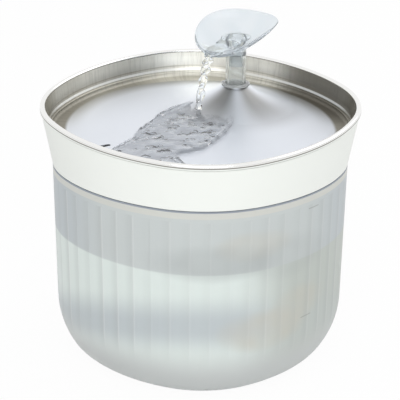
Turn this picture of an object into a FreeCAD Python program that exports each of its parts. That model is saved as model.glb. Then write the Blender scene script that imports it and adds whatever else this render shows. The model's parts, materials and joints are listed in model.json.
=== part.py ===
import FreeCAD, Part
import math
import os

import Sketcher
from FreeCAD import Vector

# Pet water fountain.
# Z points up, Z = 0 is the ground under the pads, the front is towards -Y.
# A translucent bowl carries a wedge-shaped collar, the collar carries a steel drinking tray, and a
# pump in the bowl lifts the water through a riser to a leaf-shaped spout above the tray.

# Driving dimensions in millimetres and degrees: name, size, what it is
SIZES = (
    ("rim_overhang", 7.0, "how far the tray's rim stands past the bowl's top edge"),
    ("rim_gain", 2.5, "how far the rim's corners stand past the mean, and its sides short of it"),
    ("rim_square", 29.0, "how much smaller the rim's corner arcs are than its mean radius"),
    ("rim_rise", 41.0, "height of the rim's middle over the bowl's top edge"),
    ("rim_tilt", 4.0, "slope of the rim, lower at the front"),
    ("bowl_radius", 99.0, "mean plan radius of the bowl's top edge"),
    ("bowl_gain", 1.8, "how far the bowl's corners stand past the mean"),
    ("bowl_square", 20.0, "how much smaller the bowl's corner arcs are than its mean radius"),
    ("bowl_height", 137.0, "height of the bowl's top edge"),
    ("bowl_draft", 1.75, "how far the wall leans in down to the bottom rounding"),
    ("bowl_shoulder", 23.9, "height where the wall turns into the rounding"),
    ("bowl_foot_inset", 13.8, "how much further in the rounding meets the base"),
    ("bowl_upper_bend", 59.5, "radius of the rounding's upper part"),
    ("bowl_lower_bend", 16.3, "radius of the rounding's lower part"),
    ("bowl_wall", 2.6, "wall of the bowl"),
    ("pad_proud", 1.0, "how far the ground pads stand below the bowl"),
    ("pad_sunk", 0.8, "depth of the pads' recess"),
    ("pad_radius", 8.0, "radius of a ground pad"),
    ("pad_ring_radius", 46.0, "radius of the circle of pads"),
    ("collar_wall", 1.6, "wall of the collar"),
    ("collar_lip", 0.8, "how far the collar's top stands inside the rim's outline"),
    ("collar_drop", 4.2, "depth of the collar's shoulder below the rim"),
    ("tongue_wall", 1.2, "thickness of the tongue under the rolled rim"),
    ("tongue_top", 1.1, "depth of the tongue's edge below the rim"),
    ("shadow_gap", 0.6, "height of the groove between bowl and collar"),
    ("shadow_depth", 1.2, "depth of that groove"),
    ("seat_height", 3.0, "height of the collar's seat on the bowl"),
    ("skirt_drop", 5.5, "how far the collar's skirt reaches into the bowl"),
    ("skirt_wall", 1.8, "wall of the skirt"),
    ("skirt_ledge", 3.8, "width of the ledge inside the skirt"),
    ("ledge_height", 1.5, "thickness of that ledge"),
    ("fit", 0.3, "clearance between parts that lift off"),
    ("notch_width", 9.0, "width of the cable notch at the back"),
    ("notch_height", 6.0, "height of the cable notch"),
    ("notch_plug_depth", 7.0, "length of the soft plug in the notch"),
    ("cable_hole", 4.4, "diameter of the cable hole"),
    ("sheet", 0.8, "thickness of the tray's sheet"),
    ("hem_width", 3.6, "width of the rolled rim"),
    ("hem_depth", 3.4, "height of the rolled rim"),
    ("hem_bend", 1.6, "outer radius of the rolled rim"),
    ("crease_depth", 11.0, "depth of the faint crease in the tray's wall"),
    ("crease_inset", 4.9, "inset of that crease"),
    ("ledge_depth", 15.3, "depth of the tray's ledge"),
    ("ledge_inset", 6.2, "inset of the ledge's outer edge"),
    ("ledge_width", 1.2, "width of the ledge"),
    ("floor_depth", 18.6, "depth of the tray's floor below the rim"),
    ("crease_bend", 4.0, "radius of the crease"),
    ("floor_bend", 2.2, "radius between the tray's wall and floor"),
    ("trumpet_foot", 50.0, "radius where the trumpet leaves the floor"),
    ("trumpet_rise", 13.0, "rise of the trumpet over the floor at its neck"),
    ("spout_margin", 45.0, "from the spout's axis to the bowl's top edge"),
    ("spout_angle", 59.4, "direction of the spout, behind and to the right"),
    ("neck_radius", 9.2, "outer radius of the trumpet's neck"),
    ("neck_drop", 2.0, "depth of the neck's level top below the rim's middle"),
    ("neck_bore", 8.3, "radius of the hole in the neck"),
    ("drain_length", 13.0, "length of a drain slot"),
    ("drain_width", 3.2, "width of a drain slot"),
    ("drain_radius", 74.0, "distance of the drain slots from the middle"),
    ("drain_count", 5, "number of drain slots"),
    ("drain_pitch", 12.0, "angle between drain slots"),
    ("drain_angle", 228.0, "direction of the middle slot, front left"),
    ("slide_fit", 0.1, "radial clearance of turning and sliding fits"),
    ("grommet_flange", 10.0, "radius of the tray grommet's flange"),
    ("grommet_flange_height", 1.2, "thickness of that flange"),
    ("grommet_drop", 5.0, "how far the grommet reaches down the neck"),
    ("tube_radius", 7.1, "outer radius of the spout tube"),
    ("tube_wall", 1.0, "wall of the tube round the riser"),
    ("tube_bore", 5.0, "bore radius of the tube above the riser"),
    ("tube_reach", 18.0, "how far the tube reaches below the neck's top"),
    ("tube_rise", 22.0, "how far the tube stands above the neck's top"),
    ("riser_drop", 5.0, "depth of the step in the tube, which stands on the riser, below the neck's top"),
    ("leaf_half_length", 29.0, "half length of the leaf in plan"),
    ("leaf_half_width", 17.5, "half width of the leaf in plan"),
    ("leaf_point", 0.42, "how much the leaf narrows to its tip"),
    ("leaf_rise", 18.0, "height of the leaf's edge over the tube's top, at the spout's axis"),
    ("leaf_slope_x", 0.21, "rise of the leaf's edge towards the right"),
    ("leaf_slope_y", 0.59, "rise of the leaf's edge towards the back"),
    ("leaf_depth", 9.0, "depth of the leaf's bowl"),
    ("leaf_wall", 1.6, "wall of the leaf"),
    ("leaf_edge", 1.9, "width of the leaf's edge"),
    ("leaf_plug", 8.0, "how far the leaf's plug reaches into the tube"),
    ("leaf_bore", 3.6, "radius of the water way in the leaf's plug"),
    ("plate_height", 2.0, "thickness of the filter carrier's plate"),
    ("pocket_margin", 8.0, "from the filter pocket to the edge of the carrier's plate"),
    ("pocket_angle", 225.0, "direction of the filter pocket, front left"),
    ("pocket_radius", 40.0, "inner radius of the filter pocket"),
    ("pocket_depth", 18.0, "depth of the filter pocket"),
    ("pocket_wall", 1.6, "wall of the pocket"),
    ("pocket_slot", 3.0, "width of the slots in pocket and lid"),
    ("slot_pitch", 9.0, "distance between those slots"),
    ("pad_thickness", 11.0, "thickness of the filter pad"),
    ("lid_height", 2.0, "thickness of the filter lid"),
    ("lid_rest", 1.6, "width of the step that carries the lid"),
    ("riser_radius", 6.0, "outer radius of the riser"),
    ("riser_bore", 4.6, "bore radius of the riser"),
    ("riser_window", 7.2, "radius of the riser's hole in the carrier"),
    ("pump_height", 27.0, "height of the impeller's axis"),
    ("pump_turn", 180.0, "direction of the motor from the spout's axis"),
    ("pump_back", 8.0, "from the spout's axis to the motor's front face"),
    ("volute_radius", 16.0, "outer radius of the pump's front"),
    ("volute_wall", 1.8, "wall of the volute"),
    ("volute_front", 9.0, "from the spout's axis to the volute's front face"),
    ("eye_radius", 7.5, "radius of the eye in the volute's front"),
    ("boss_radius", 3.4, "radius of the bearing boss in the eye"),
    ("spoke_width", 1.8, "width of the spokes that carry the boss"),
    ("nozzle_radius", 4.5, "outer radius of the outlet nozzle"),
    ("nozzle_bore", 3.2, "bore radius of the nozzle"),
    ("nozzle_top", 25.0, "height of the nozzle over the impeller's axis"),
    ("nozzle_root", 1.45, "how deep the nozzle's root is sunk into the volute"),
    ("nozzle_collar", 2.6, "height of the stop collar round the nozzle's root"),
    ("motor_length", 20.0, "length of the motor can"),
    ("motor_width", 26.0, "width of the motor can"),
    ("motor_height", 28.0, "height of the motor can"),
    ("motor_round", 7.0, "radius of the motor can's long edges"),
    ("motor_edge", 1.5, "radius of the motor can's rear edges"),
    ("rotor_bore", 7.2, "radius of the rotor's hole in the motor"),
    ("rotor_depth", 17.0, "depth of the rotor's hole"),
    ("rotor_radius", 6.6, "radius of the rotor magnet"),
    ("rotor_length", 13.0, "length of the rotor magnet"),
    ("shaft_radius", 1.0, "radius of the ceramic shaft"),
    ("bush_radius", 2.2, "outer radius of a bush"),
    ("bush_length", 2.0, "length of a bush"),
    ("blade_radius", 12.0, "radius of the impeller"),
    ("blade_height", 7.0, "height of the impeller's blades"),
    ("blade_wall", 1.4, "thickness of a blade"),
    ("blade_count", 6, "number of blades"),
    ("hub_radius", 3.6, "radius of the impeller's hub"),
    ("disc_height", 1.5, "thickness of the impeller's disc"),
    ("cap_length", 12.0, "length of the intake cap"),
    ("cap_face", 1.6, "thickness of the cap's face and wall"),
    ("grille_slot", 2.0, "width of a slot in the intake grille"),
    ("grille_pitch", 4.4, "distance between slots in the intake grille"),
    ("rail_height", 2.2, "height of the slider's rails over the grille"),
    ("slider_width", 9.0, "width of the flow slider"),
    ("slider_height", 11.0, "height of the flow slider"),
    ("slider_thick", 1.3, "thickness of the flow slider"),
    ("slider_travel", 7.0, "travel of the flow slider"),
    ("gland_rise", 5.6, "height of the cable gland over the impeller's axis"),
    ("gland_radius", 4.0, "radius of the cable gland"),
    ("gland_tip", 3.2, "radius of the gland's outer end"),
    ("gland_length", 6.0, "length of the cable gland"),
    ("cup_radius", 4.8, "radius of a suction cup's lip"),
    ("cup_stem", 2.4, "radius of a suction cup's stem"),
    ("cup_spacing_x", 11.0, "distance between cups along the pump"),
    ("cup_spacing_y", 13.0, "distance between cups across the pump"),
)

doc = FreeCAD.newDocument("PetWaterFountain")
dims = doc.addObject("Spreadsheet::Sheet", "dims")
for row, (alias, number, meaning) in enumerate(SIZES, start=1):
    dims.set(f"A{row}", meaning)
    dims.set(f"B{row}", str(number))
    dims.setAlias(f"B{row}", alias)
doc.recompute()

UP = Vector(0, 0, 1)
ORIGIN = Vector(0, 0, 0)
FULL_TURN = 360.0
QUARTER = 90.0
PAST = 1.0  # how far a cutter runs past the face that it cuts

# Levels and places that follow from the driving dimensions
RIM_HEIGHT = "dims.bowl_height + dims.rim_rise"
NECK_TOP = f"{RIM_HEIGHT} - dims.neck_drop"
TUBE_TOP = f"{NECK_TOP} + dims.tube_rise"
RISER_SEAT = f"{NECK_TOP} - dims.riser_drop"
LEAF_HEIGHT = f"{TUBE_TOP} + dims.leaf_rise"
SPOUT_X = "(dims.bowl_radius - dims.spout_margin) * cos(dims.spout_angle * 1 deg)"
SPOUT_Y = "(dims.bowl_radius - dims.spout_margin) * sin(dims.spout_angle * 1 deg)"
CARRIER_LOW = "dims.bowl_height - dims.skirt_drop + dims.ledge_height"
CARRIER_TOP = f"{CARRIER_LOW} + dims.plate_height"
CARRIER_EDGE = "dims.bowl_wall + dims.skirt_wall + 2 * dims.fit"
POCKET_OUTER = "dims.pocket_radius + dims.lid_rest + dims.pocket_wall"
POCKET_PLACE = f"dims.bowl_radius - ({CARRIER_EDGE}) - ({POCKET_OUTER}) - dims.pocket_margin"
POCKET_X = f"({POCKET_PLACE}) * cos(dims.pocket_angle * 1 deg)"
POCKET_Y = f"({POCKET_PLACE}) * sin(dims.pocket_angle * 1 deg)"


# Helpers for sketched pieces

def number_of(expression):
    """Value of an expression written in the sheet's names."""
    return float(dims.evalExpression(expression))


def new_body(name, x="0", y="0", height="0"):
    """Body whose origin stands at the given place."""
    body = doc.addObject("PartDesign::Body", name)
    body.Label = name
    for axis, expression in (("x", x), ("y", y), ("z", height)):
        body.setExpression(f".Placement.Base.{axis}", expression)
    return body


def new_sketch(body, name, plane, offset="0"):
    """Sketch on one of the body's own planes, moved along that plane's normal."""
    sketch = body.newObject("Sketcher::SketchObject", name)
    support = next(feature for feature in body.Origin.OriginFeatures if feature.Role == plane)
    sketch.AttachmentSupport = [(support, "")]
    sketch.MapMode = "FlatFace"
    sketch.setExpression(".AttachmentOffset.Base.z", offset)
    return sketch


def bind(sketch, constraint, expression):
    """Add a constraint and tie its value to the sheet."""
    index = sketch.addConstraint(constraint)
    sketch.setExpression(f"Constraints[{index}]", expression)


def pin(sketch, geometry, vertex, x, y):
    """Hold a sketch point at two bound distances from the origin."""
    bind(sketch, Sketcher.Constraint("DistanceX", -1, 1, geometry, vertex, number_of(x)), x)
    bind(sketch, Sketcher.Constraint("DistanceY", -1, 1, geometry, vertex, number_of(y)), y)


def draw_polygon(sketch, corners):
    """Closed outline through corners given as pairs of expressions."""
    points = [Vector(number_of(x), number_of(y), 0) for x, y in corners]
    first = sketch.GeometryCount
    count = len(points)
    for index, point in enumerate(points):
        sketch.addGeometry(Part.LineSegment(point, points[(index + 1) % count]))
    for index in range(count):
        following = first + (index + 1) % count
        sketch.addConstraint(Sketcher.Constraint("Coincident", first + index, 2, following, 1))
    for index, (x, y) in enumerate(corners):
        pin(sketch, first + index, 1, x, y)


def draw_box(sketch, left, bottom, right, top):
    """Rectangle between two corners."""
    draw_polygon(sketch, ((left, bottom), (right, bottom), (right, top), (left, top)))


def draw_circle(sketch, radius, x="0", y="0"):
    """Circle with a bound middle and radius."""
    middle = Vector(number_of(x), number_of(y), 0)
    circle = sketch.addGeometry(Part.Circle(middle, UP, number_of(radius)))
    pin(sketch, circle, 3, x, y)
    bind(sketch, Sketcher.Constraint("Radius", circle, number_of(radius)), radius)


def add_feature(body, kind, sketch, name, length, both_ways=False, backwards=False):
    """Pad or Pocket of a sketch to a bound length."""
    feature = body.newObject(f"PartDesign::{kind}", name)
    feature.Profile = sketch
    feature.setExpression("Length", length)
    feature.Midplane = both_ways
    feature.Reversed = backwards
    return feature


def add_turn(body, kind, sketch, name, axis="V_Axis"):
    """Revolution or Groove of a sketch all the way round one of its axes."""
    feature = body.newObject(f"PartDesign::{kind}", name)
    feature.Profile = sketch
    feature.ReferenceAxis = (sketch, [axis])
    feature.Angle = FULL_TURN
    return feature


def add_polar(body, features, axis_role, count, name):
    """Repeat features evenly round one of the body's own axes."""
    axis = next(item for item in body.Origin.OriginFeatures if item.Role == axis_role)
    pattern = body.newObject("PartDesign::PolarPattern", name)
    pattern.Originals = features
    pattern.Axis = (axis, [""])
    pattern.Angle = FULL_TURN
    pattern.setExpression("Occurrences", count)
    body.Tip = pattern
    return pattern


def edges_where(shape, test):
    """Names of the edges whose middle passes a test."""
    return [f"Edge{i}" for i, edge in enumerate(shape.Edges, start=1) if test(edge)]


# Helpers for the drawn and moulded shells

class Outline:
    """Rounded square of eight tangent arcs, its corners on the X and Y axes."""

    def __init__(self, radius, gain, square):
        corner_round = radius - square
        corner_reach = radius + gain
        side_reach = radius - gain
        spread = corner_reach - corner_round
        rest = side_reach - corner_round
        back = (spread ** 2 - rest ** 2) / (2 * rest - math.sqrt(2) * spread)
        turn = math.degrees(math.atan2(back, math.sqrt(2) * spread + back))
        self.arcs = []
        for quarter in range(4):
            start = QUARTER * quarter
            self.arcs.append((self.polar(start, spread), corner_round, start - turn, start + turn))
            away = self.polar(start + QUARTER / 2, -back)
            self.arcs.append((away, side_reach + back, start + turn, start + QUARTER - turn))

    @staticmethod
    def polar(angle, distance):
        """Point in plan at an angle and a distance."""
        return Vector(math.cos(math.radians(angle)), math.sin(math.radians(angle)), 0) * distance

    def wire(self, inset, height):
        """The outline, moved inwards and up."""
        edges = []
        for centre, radius, start, end in self.arcs:
            circle = Part.Circle(centre + UP * height, UP, radius - inset)
            edges.append(circle.toShape(math.radians(start), math.radians(end)))
        return Part.Wire(Part.__sortEdges__(edges))

    def plate(self, inset, low, high):
        """Solid between two heights inside the outline."""
        return Part.Face(self.wire(inset, low)).extrude(UP * (high - low))

    def ring(self, profile):
        """Profile of insets and heights, carried round the outline."""
        pieces = []
        for centre, radius, start, end in self.arcs:
            piece = profile.copy()
            piece.rotate(ORIGIN, UP, start)
            piece.translate(centre + self.polar(start, radius))
            pieces.append(piece.revolve(centre, UP, end - start))
        return pieces[0].fuse(pieces[1:]).removeSplitter()


def rounded_wire(corners):
    """Closed XZ outline of (inset, height, bend) corners, each rounded by its bend."""
    points = [Vector(-corner[0], 0, corner[1]) for corner in corners]
    bends = [corner[2] if len(corner) > 2 else 0 for corner in corners]
    count = len(points)
    entries, exits, edges = [], [], []
    for index, point in enumerate(points):
        before = (points[index - 1] - point).normalize()
        after = (points[(index + 1) % count] - point).normalize()
        half = before.getAngle(after) / 2
        reach = bends[index] / math.tan(half) if bends[index] else 0
        entries.append(point + before * reach)
        exits.append(point + after * reach)
        if reach:
            middle = (before + after).normalize()
            crown = point + middle * (bends[index] / math.sin(half) - bends[index])
            edges.append(Part.Arc(entries[-1], crown, exits[-1]).toShape())
    for index in range(count):
        end = entries[(index + 1) % count]
        if exits[index].distanceToPoint(end) > 1e-6:
            edges.append(Part.LineSegment(exits[index], end).toShape())
    return Part.Wire(Part.__sortEdges__(edges))


def profile_of(corners):
    """Closed face in the XZ plane from rounded corners."""
    return Part.Face(rounded_wire(corners))


def thickened(path, thickness):
    """Corners of a sheet's section: a path and the same path moved to its left."""
    points = [Vector(corner[0], corner[1], 0) for corner in path]
    bends = [corner[2] if len(corner) > 2 else 0 for corner in path]
    normals = []
    for first, second in zip(points, points[1:]):
        along = (second - first).normalize()
        normals.append(Vector(-along.y, along.x, 0))
    moved = [points[0] + normals[0] * thickness]
    new_bends = [0]
    for index in range(1, len(points) - 1):
        before, after = normals[index - 1], normals[index]
        share = (before + after) / (1 + before.dot(after))
        moved.append(points[index] + share * thickness)
        turns_left = before.cross(after).z > 0
        new_bends.append(bends[index] + (-thickness if turns_left else thickness))
    moved.append(points[-1] + normals[-1] * thickness)
    new_bends.append(0)
    far_side = [(p.x, p.y, max(bend, 0)) for p, bend in zip(moved, new_bends)]
    return list(path) + far_side[::-1]


def tilted(shape):
    """Move a shape from the rim's own level frame to its place."""
    shape.rotate(ORIGIN, Vector(1, 0, 0), dims.rim_tilt)
    shape.translate(UP * number_of(RIM_HEIGHT))
    return shape


def cylinder(radius, low, high, x=0.0, y=0.0):
    """Upright cylinder between two heights."""
    return Part.makeCylinder(radius, high - low, Vector(x, y, low))


def slot(length, width, low, high, x, y, angle=0.0):
    """Upright cutter with round ends."""
    half = (length - width) / 2
    body = Part.makeBox(2 * half, width, high - low, Vector(-half, -width / 2, low))
    ends = [cylinder(width / 2, low, high, side * half) for side in (-1, 1)]
    cutter = body.fuse(ends).removeSplitter()
    cutter.rotate(ORIGIN, UP, angle)
    cutter.translate(Vector(x, y, 0))
    return cutter


def add_shape(name, shape):
    """Feature that holds a finished solid."""
    feature = doc.addObject("Part::Feature", name)
    feature.Label = name
    feature.Shape = shape
    return feature


RIM = Outline(dims.bowl_radius + dims.rim_overhang, dims.rim_gain, dims.rim_square)
BOWL = Outline(dims.bowl_radius, dims.bowl_gain, dims.bowl_square)


# Bowl: drafted wall, rounded bottom and flat base, with recesses for the ground pads

def make_bowl():
    base = dims.pad_proud
    foot_inset = dims.bowl_draft + dims.bowl_foot_inset
    flat_inset = foot_inset + dims.bowl_lower_bend
    wall = (
        (0, dims.bowl_height + PAST),
        (dims.bowl_draft, dims.bowl_shoulder, dims.bowl_upper_bend),
        (foot_inset, base, dims.bowl_lower_bend),
        (flat_inset, base),
    )
    shell = BOWL.ring(profile_of(thickened(wall, dims.bowl_wall)))
    floor = BOWL.plate(flat_inset - PAST, base, base + dims.bowl_wall)
    above = BOWL.plate(-PAST, dims.bowl_height, dims.bowl_height + 2 * PAST)
    bowl = shell.fuse(floor).cut(above).removeSplitter()
    for quarter in range(4):
        spot = BOWL.polar(QUARTER * (quarter + 0.5), dims.pad_ring_radius)
        top = base + dims.pad_sunk
        bowl = bowl.cut(cylinder(dims.pad_radius + dims.slide_fit, base - PAST, top, spot.x, spot.y))
    return add_shape("tank", bowl)


# Ground pads: four soft discs in the bowl's recesses

def make_ground_pads():
    body = new_body("ground_pads")
    sketch = new_sketch(body, "pad_outline", "XY_Plane")
    place = "dims.pad_ring_radius * sqrt(2) / 2"
    draw_circle(sketch, "dims.pad_radius", place, place)
    disc = add_feature(body, "Pad", sketch, "pad_disc", "dims.pad_proud + dims.pad_sunk")
    add_polar(body, [disc], "Z_Axis", "4", "pad_ring")
    return body


# Collar: wedge between the level bowl and the tilted rim, with seat, skirt, ledge and tongue

def make_collar():
    top = dims.bowl_height
    outer_foot = BOWL.wire(0, top + dims.shadow_gap)
    inner_foot = BOWL.wire(dims.collar_wall, top + dims.shadow_gap)
    outer_head = tilted(RIM.wire(dims.collar_lip, -dims.collar_drop))
    inner_head = tilted(RIM.wire(dims.collar_lip + dims.collar_wall, -dims.collar_drop))
    wall = Part.makeLoft([outer_foot, outer_head], True, True)
    wall = wall.cut(Part.makeLoft([inner_foot, inner_head], True, True))
    skirt_out = dims.bowl_wall + dims.fit
    skirt_in = skirt_out + dims.skirt_wall
    low = top - dims.skirt_drop
    seat = BOWL.ring(profile_of((
        (dims.shadow_depth, top), (dims.shadow_depth, top + dims.seat_height),
        (skirt_in, top + dims.seat_height), (skirt_in, low + dims.ledge_height),
        (skirt_in + dims.skirt_ledge, low + dims.ledge_height), (skirt_in + dims.skirt_ledge, low),
        (skirt_out, low), (skirt_out, top))))
    tongue_in = dims.collar_lip + dims.collar_wall
    tongue = tilted(RIM.ring(profile_of((
        (tongue_in - dims.tongue_wall, -dims.collar_drop - PAST),
        (tongue_in, -dims.collar_drop - PAST),
        (tongue_in, -dims.tongue_top),
        (tongue_in - dims.tongue_wall, -dims.tongue_top)))))
    collar = wall.fuse([seat, tongue])
    inside = dims.bowl_radius - skirt_in - dims.skirt_ledge - 2 * PAST
    notch = Part.makeBox(dims.notch_width, dims.bowl_radius, dims.notch_height + top - low + PAST,
                         Vector(-dims.notch_width / 2, inside, low - PAST))
    return add_shape("collar", collar.cut(notch).removeSplitter())


# Soft plug in the collar's cable notch

def make_notch_plug():
    outside = "dims.bowl_radius + dims.bowl_gain - dims.shadow_depth - dims.fit"
    body = new_body("cable_notch_plug", "0", outside, "dims.bowl_height + dims.fit")
    sketch = new_sketch(body, "plug_outline", "XZ_Plane")
    half = "dims.notch_width / 2 - dims.slide_fit"
    height = "dims.notch_height - dims.fit - dims.slide_fit"
    draw_box(sketch, f"-({half})", "0", half, height)
    add_feature(body, "Pad", sketch, "plug_block", "dims.notch_plug_depth")
    hole = new_sketch(body, "cable_hole_outline", "XZ_Plane")
    draw_circle(hole, "dims.cable_hole / 2", "0", f"({height}) / 2")
    add_feature(body, "Pocket", hole, "cable_way", "3 * dims.notch_plug_depth", both_ways=True)
    return body


# Tray: rolled rim, creased wall, ledge, floor and the trumpet round the spout

def tray_path():
    """Water side of the tray's section from the hem's outer edge to the floor."""
    floor_inset = dims.ledge_inset + dims.ledge_width
    return (
        (dims.sheet, -dims.hem_depth),
        (dims.sheet, -dims.sheet, dims.hem_bend - dims.sheet),
        (dims.hem_width - dims.sheet, -dims.sheet, dims.hem_bend - dims.sheet),
        (dims.crease_inset - dims.sheet, -dims.crease_depth, dims.crease_bend),
        (dims.ledge_inset - dims.sheet, -dims.ledge_depth - dims.sheet),
        (floor_inset - dims.sheet, -dims.ledge_depth - dims.sheet),
        (floor_inset - dims.sheet, -dims.floor_depth - dims.sheet, dims.floor_bend + dims.sheet),
        (floor_inset + 3 * dims.floor_bend, -dims.floor_depth - dims.sheet),
    )


def trumpet(drop):
    """Solid under the trumpet's surface, lowered by a sheet's thickness."""
    rise = dims.trumpet_rise
    foot = dims.trumpet_foot
    span = foot - dims.neck_radius
    bend = (span ** 2 + rise ** 2) / (2 * rise)
    sink = dims.sheet / 3  # the foot ends a little below the floor
    level = -dims.floor_depth - drop
    centre = Vector(foot, 0, level - sink + bend)
    lowest = Vector(foot, 0, level - sink)
    neck = Vector(dims.neck_radius - drop, 0, level + rise)
    angle = math.asin((foot - neck.x) / bend)
    neck.z = centre.z - bend * math.cos(angle)
    middle = centre + Vector(-math.sin(angle / 2), 0, -math.cos(angle / 2)) * bend
    lip = neck + UP * dims.trumpet_rise
    base = level - 2 * dims.floor_bend
    edges = [
        Part.Arc(lowest, middle, neck).toShape(),
        Part.LineSegment(neck, lip).toShape(),
        Part.LineSegment(lip, Vector(0, 0, lip.z)).toShape(),
        Part.LineSegment(Vector(0, 0, lip.z), Vector(0, 0, base)).toShape(),
        Part.LineSegment(Vector(0, 0, base), Vector(foot, 0, base)).toShape(),
        Part.LineSegment(Vector(foot, 0, base), lowest).toShape(),
    ]
    solid = Part.Face(Part.Wire(Part.__sortEdges__(edges))).revolve(ORIGIN, UP, FULL_TURN)
    lean = math.radians(dims.rim_tilt)
    solid.translate(Vector(number_of(SPOUT_X), number_of(SPOUT_Y) / math.cos(lean), 0))
    return solid


def make_tray():
    path = tray_path()
    floor_start = path[-1][0]
    sheet = RIM.ring(profile_of(thickened(path, dims.sheet)))
    floor = RIM.plate(floor_start - PAST, -dims.floor_depth - dims.sheet, -dims.floor_depth)
    pan = sheet.fuse(floor).removeSplitter()
    wall_in = dims.ledge_inset + dims.ledge_width + dims.fit
    rim_height = number_of(RIM_HEIGHT)
    inside = RIM.plate(wall_in, -dims.floor_depth - dims.trumpet_rise, rim_height)
    hill = trumpet(0).common(inside)
    tray = pan.fuse(hill).cut(trumpet(dims.sheet))
    tray = tilted(tray)
    above = cylinder(2 * dims.neck_radius, number_of(NECK_TOP), 2 * rim_height,
                     number_of(SPOUT_X), number_of(SPOUT_Y))
    bore = cylinder(dims.neck_bore, 0, 2 * rim_height, number_of(SPOUT_X), number_of(SPOUT_Y))
    tray = tray.cut([above, bore])
    for index in range(int(dims.drain_count)):
        turn = dims.drain_angle + (index - (dims.drain_count - 1) / 2) * dims.drain_pitch
        spot = RIM.polar(turn, dims.drain_radius)
        tray = tray.cut(slot(dims.drain_length, dims.drain_width, dims.bowl_height,
                             rim_height, spot.x, spot.y, turn))
    return add_shape("tray", tray.removeSplitter())


# Grommet in the tray's neck: a flange on the neck and a sleeve inside it

def make_grommet():
    body = new_body("tray_grommet", SPOUT_X, SPOUT_Y, NECK_TOP)
    sketch = new_sketch(body, "grommet_section", "XZ_Plane")
    inner = "dims.tube_radius + dims.slide_fit"
    sleeve = "dims.neck_bore - dims.slide_fit"
    draw_polygon(sketch, (
        (inner, "-dims.grommet_drop"), (sleeve, "-dims.grommet_drop"), (sleeve, "0"),
        ("dims.grommet_flange", "0"), ("dims.grommet_flange", "dims.grommet_flange_height"),
        (inner, "dims.grommet_flange_height")))
    add_turn(body, "Revolution", sketch, "grommet_turn")
    return body


# Spout tube: stands on the riser by its inner step and turns in the grommet

def make_spout_tube():
    body = new_body("spout_tube", SPOUT_X, SPOUT_Y, NECK_TOP)
    sketch = new_sketch(body, "tube_section", "XZ_Plane")
    low = "-dims.tube_reach"
    top = "dims.tube_rise"
    step = "-dims.riser_drop"
    socket = "dims.tube_radius - dims.tube_wall"
    draw_polygon(sketch, (
        (socket, low), ("dims.tube_radius", low), ("dims.tube_radius", top),
        ("dims.tube_bore", top), ("dims.tube_bore", step), (socket, step)))
    add_turn(body, "Revolution", sketch, "tube_turn")
    return body


# Leaf: a pointed spoon on a short neck, its plug turning in the tube

LEAF_POINTS = 16
# Sections of the leaf from its edge down: share of its size in plan, share of its depth
LEAF_SECTIONS = ((1.0, 0.0), (0.9, 0.36), (0.66, 0.76), (0.3, 1.0))


def leaf_section(scale, drop):
    """Closed plan outline of the leaf on its sloping plane."""
    points = []
    height = number_of(LEAF_HEIGHT)
    for index in range(LEAF_POINTS):
        angle = 2 * math.pi * index / LEAF_POINTS
        x = dims.leaf_half_length * math.cos(angle) * scale
        y = dims.leaf_half_width * math.sin(angle) * (1 - dims.leaf_point * math.cos(angle)) * scale
        rise = dims.leaf_slope_x * x + dims.leaf_slope_y * y
        points.append(Vector(x, y, height + rise - drop))
    curve = Part.BSplineCurve()
    curve.interpolate(points, PeriodicFlag=True)
    return Part.Wire(curve.toShape())


def leaf_bowl(shrink, lift):
    """Filled dish below the leaf's sloping edge."""
    sections = [leaf_section(scale - shrink, share * dims.leaf_depth - lift)
                for scale, share in LEAF_SECTIONS]
    return Part.makeLoft(sections, True, False)


def make_leaf():
    tube_top = number_of(TUBE_TOP)
    height = number_of(LEAF_HEIGHT)
    outside = leaf_bowl(0, 0)
    neck = cylinder(dims.tube_radius, tube_top, height - dims.leaf_depth / 2)
    plug = cylinder(dims.tube_bore - dims.slide_fit, tube_top - dims.leaf_plug, tube_top + PAST)
    inside = leaf_bowl(dims.leaf_edge / dims.leaf_half_length, dims.leaf_wall)
    above = Part.Face(leaf_section(2.0, 0)).extrude(UP * height)
    water_way = cylinder(dims.leaf_bore, 0, 2 * height)
    leaf = outside.fuse([neck, plug]).cut([inside, above, water_way]).removeSplitter()
    leaf.translate(Vector(number_of(SPOUT_X), number_of(SPOUT_Y), 0))
    return add_shape("spout_leaf", leaf)


# Filter carrier: plate on the collar's ledge with a slotted pocket and the riser's window

def slot_row(radius, low, high):
    """Cutters for a round grille of parallel slots."""
    cutters = []
    count = int(radius / dims.slot_pitch)
    for index in range(-count, count + 1):
        offset = index * dims.slot_pitch
        length = 2 * math.sqrt(radius ** 2 - offset ** 2) - dims.slot_pitch
        if length > 3 * dims.pocket_slot:
            cutters.append(slot(length, dims.pocket_slot, low, high,
                                number_of(POCKET_X), number_of(POCKET_Y) + offset))
    return cutters


def make_filter_carrier():
    top = number_of(CARRIER_TOP)
    plate = BOWL.plate(number_of(CARRIER_EDGE), number_of(CARRIER_LOW), top)
    floor = top - dims.pocket_depth
    x, y = number_of(POCKET_X), number_of(POCKET_Y)
    tub = cylinder(number_of(POCKET_OUTER), floor - dims.pocket_wall, top, x, y)
    hollow = cylinder(dims.pocket_radius, floor, top + PAST, x, y)
    step = cylinder(dims.pocket_radius + dims.lid_rest, top - dims.lid_height, top + PAST, x, y)
    window = cylinder(dims.riser_window, 0, 2 * top, number_of(SPOUT_X), number_of(SPOUT_Y))
    slots = slot_row(dims.pocket_radius - dims.pocket_wall, floor - dims.pocket_depth, top)
    carrier = plate.fuse(tub).cut([hollow, step, window] + slots)
    return add_shape("filter_carrier", carrier.removeSplitter())


def make_filter_pad():
    body = new_body("filter_pad", POCKET_X, POCKET_Y, f"{CARRIER_TOP} - dims.pocket_depth")
    sketch = new_sketch(body, "filter_outline", "XY_Plane")
    draw_circle(sketch, "dims.pocket_radius - dims.fit")
    add_feature(body, "Pad", sketch, "filter_disc", "dims.pad_thickness")
    return body


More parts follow.
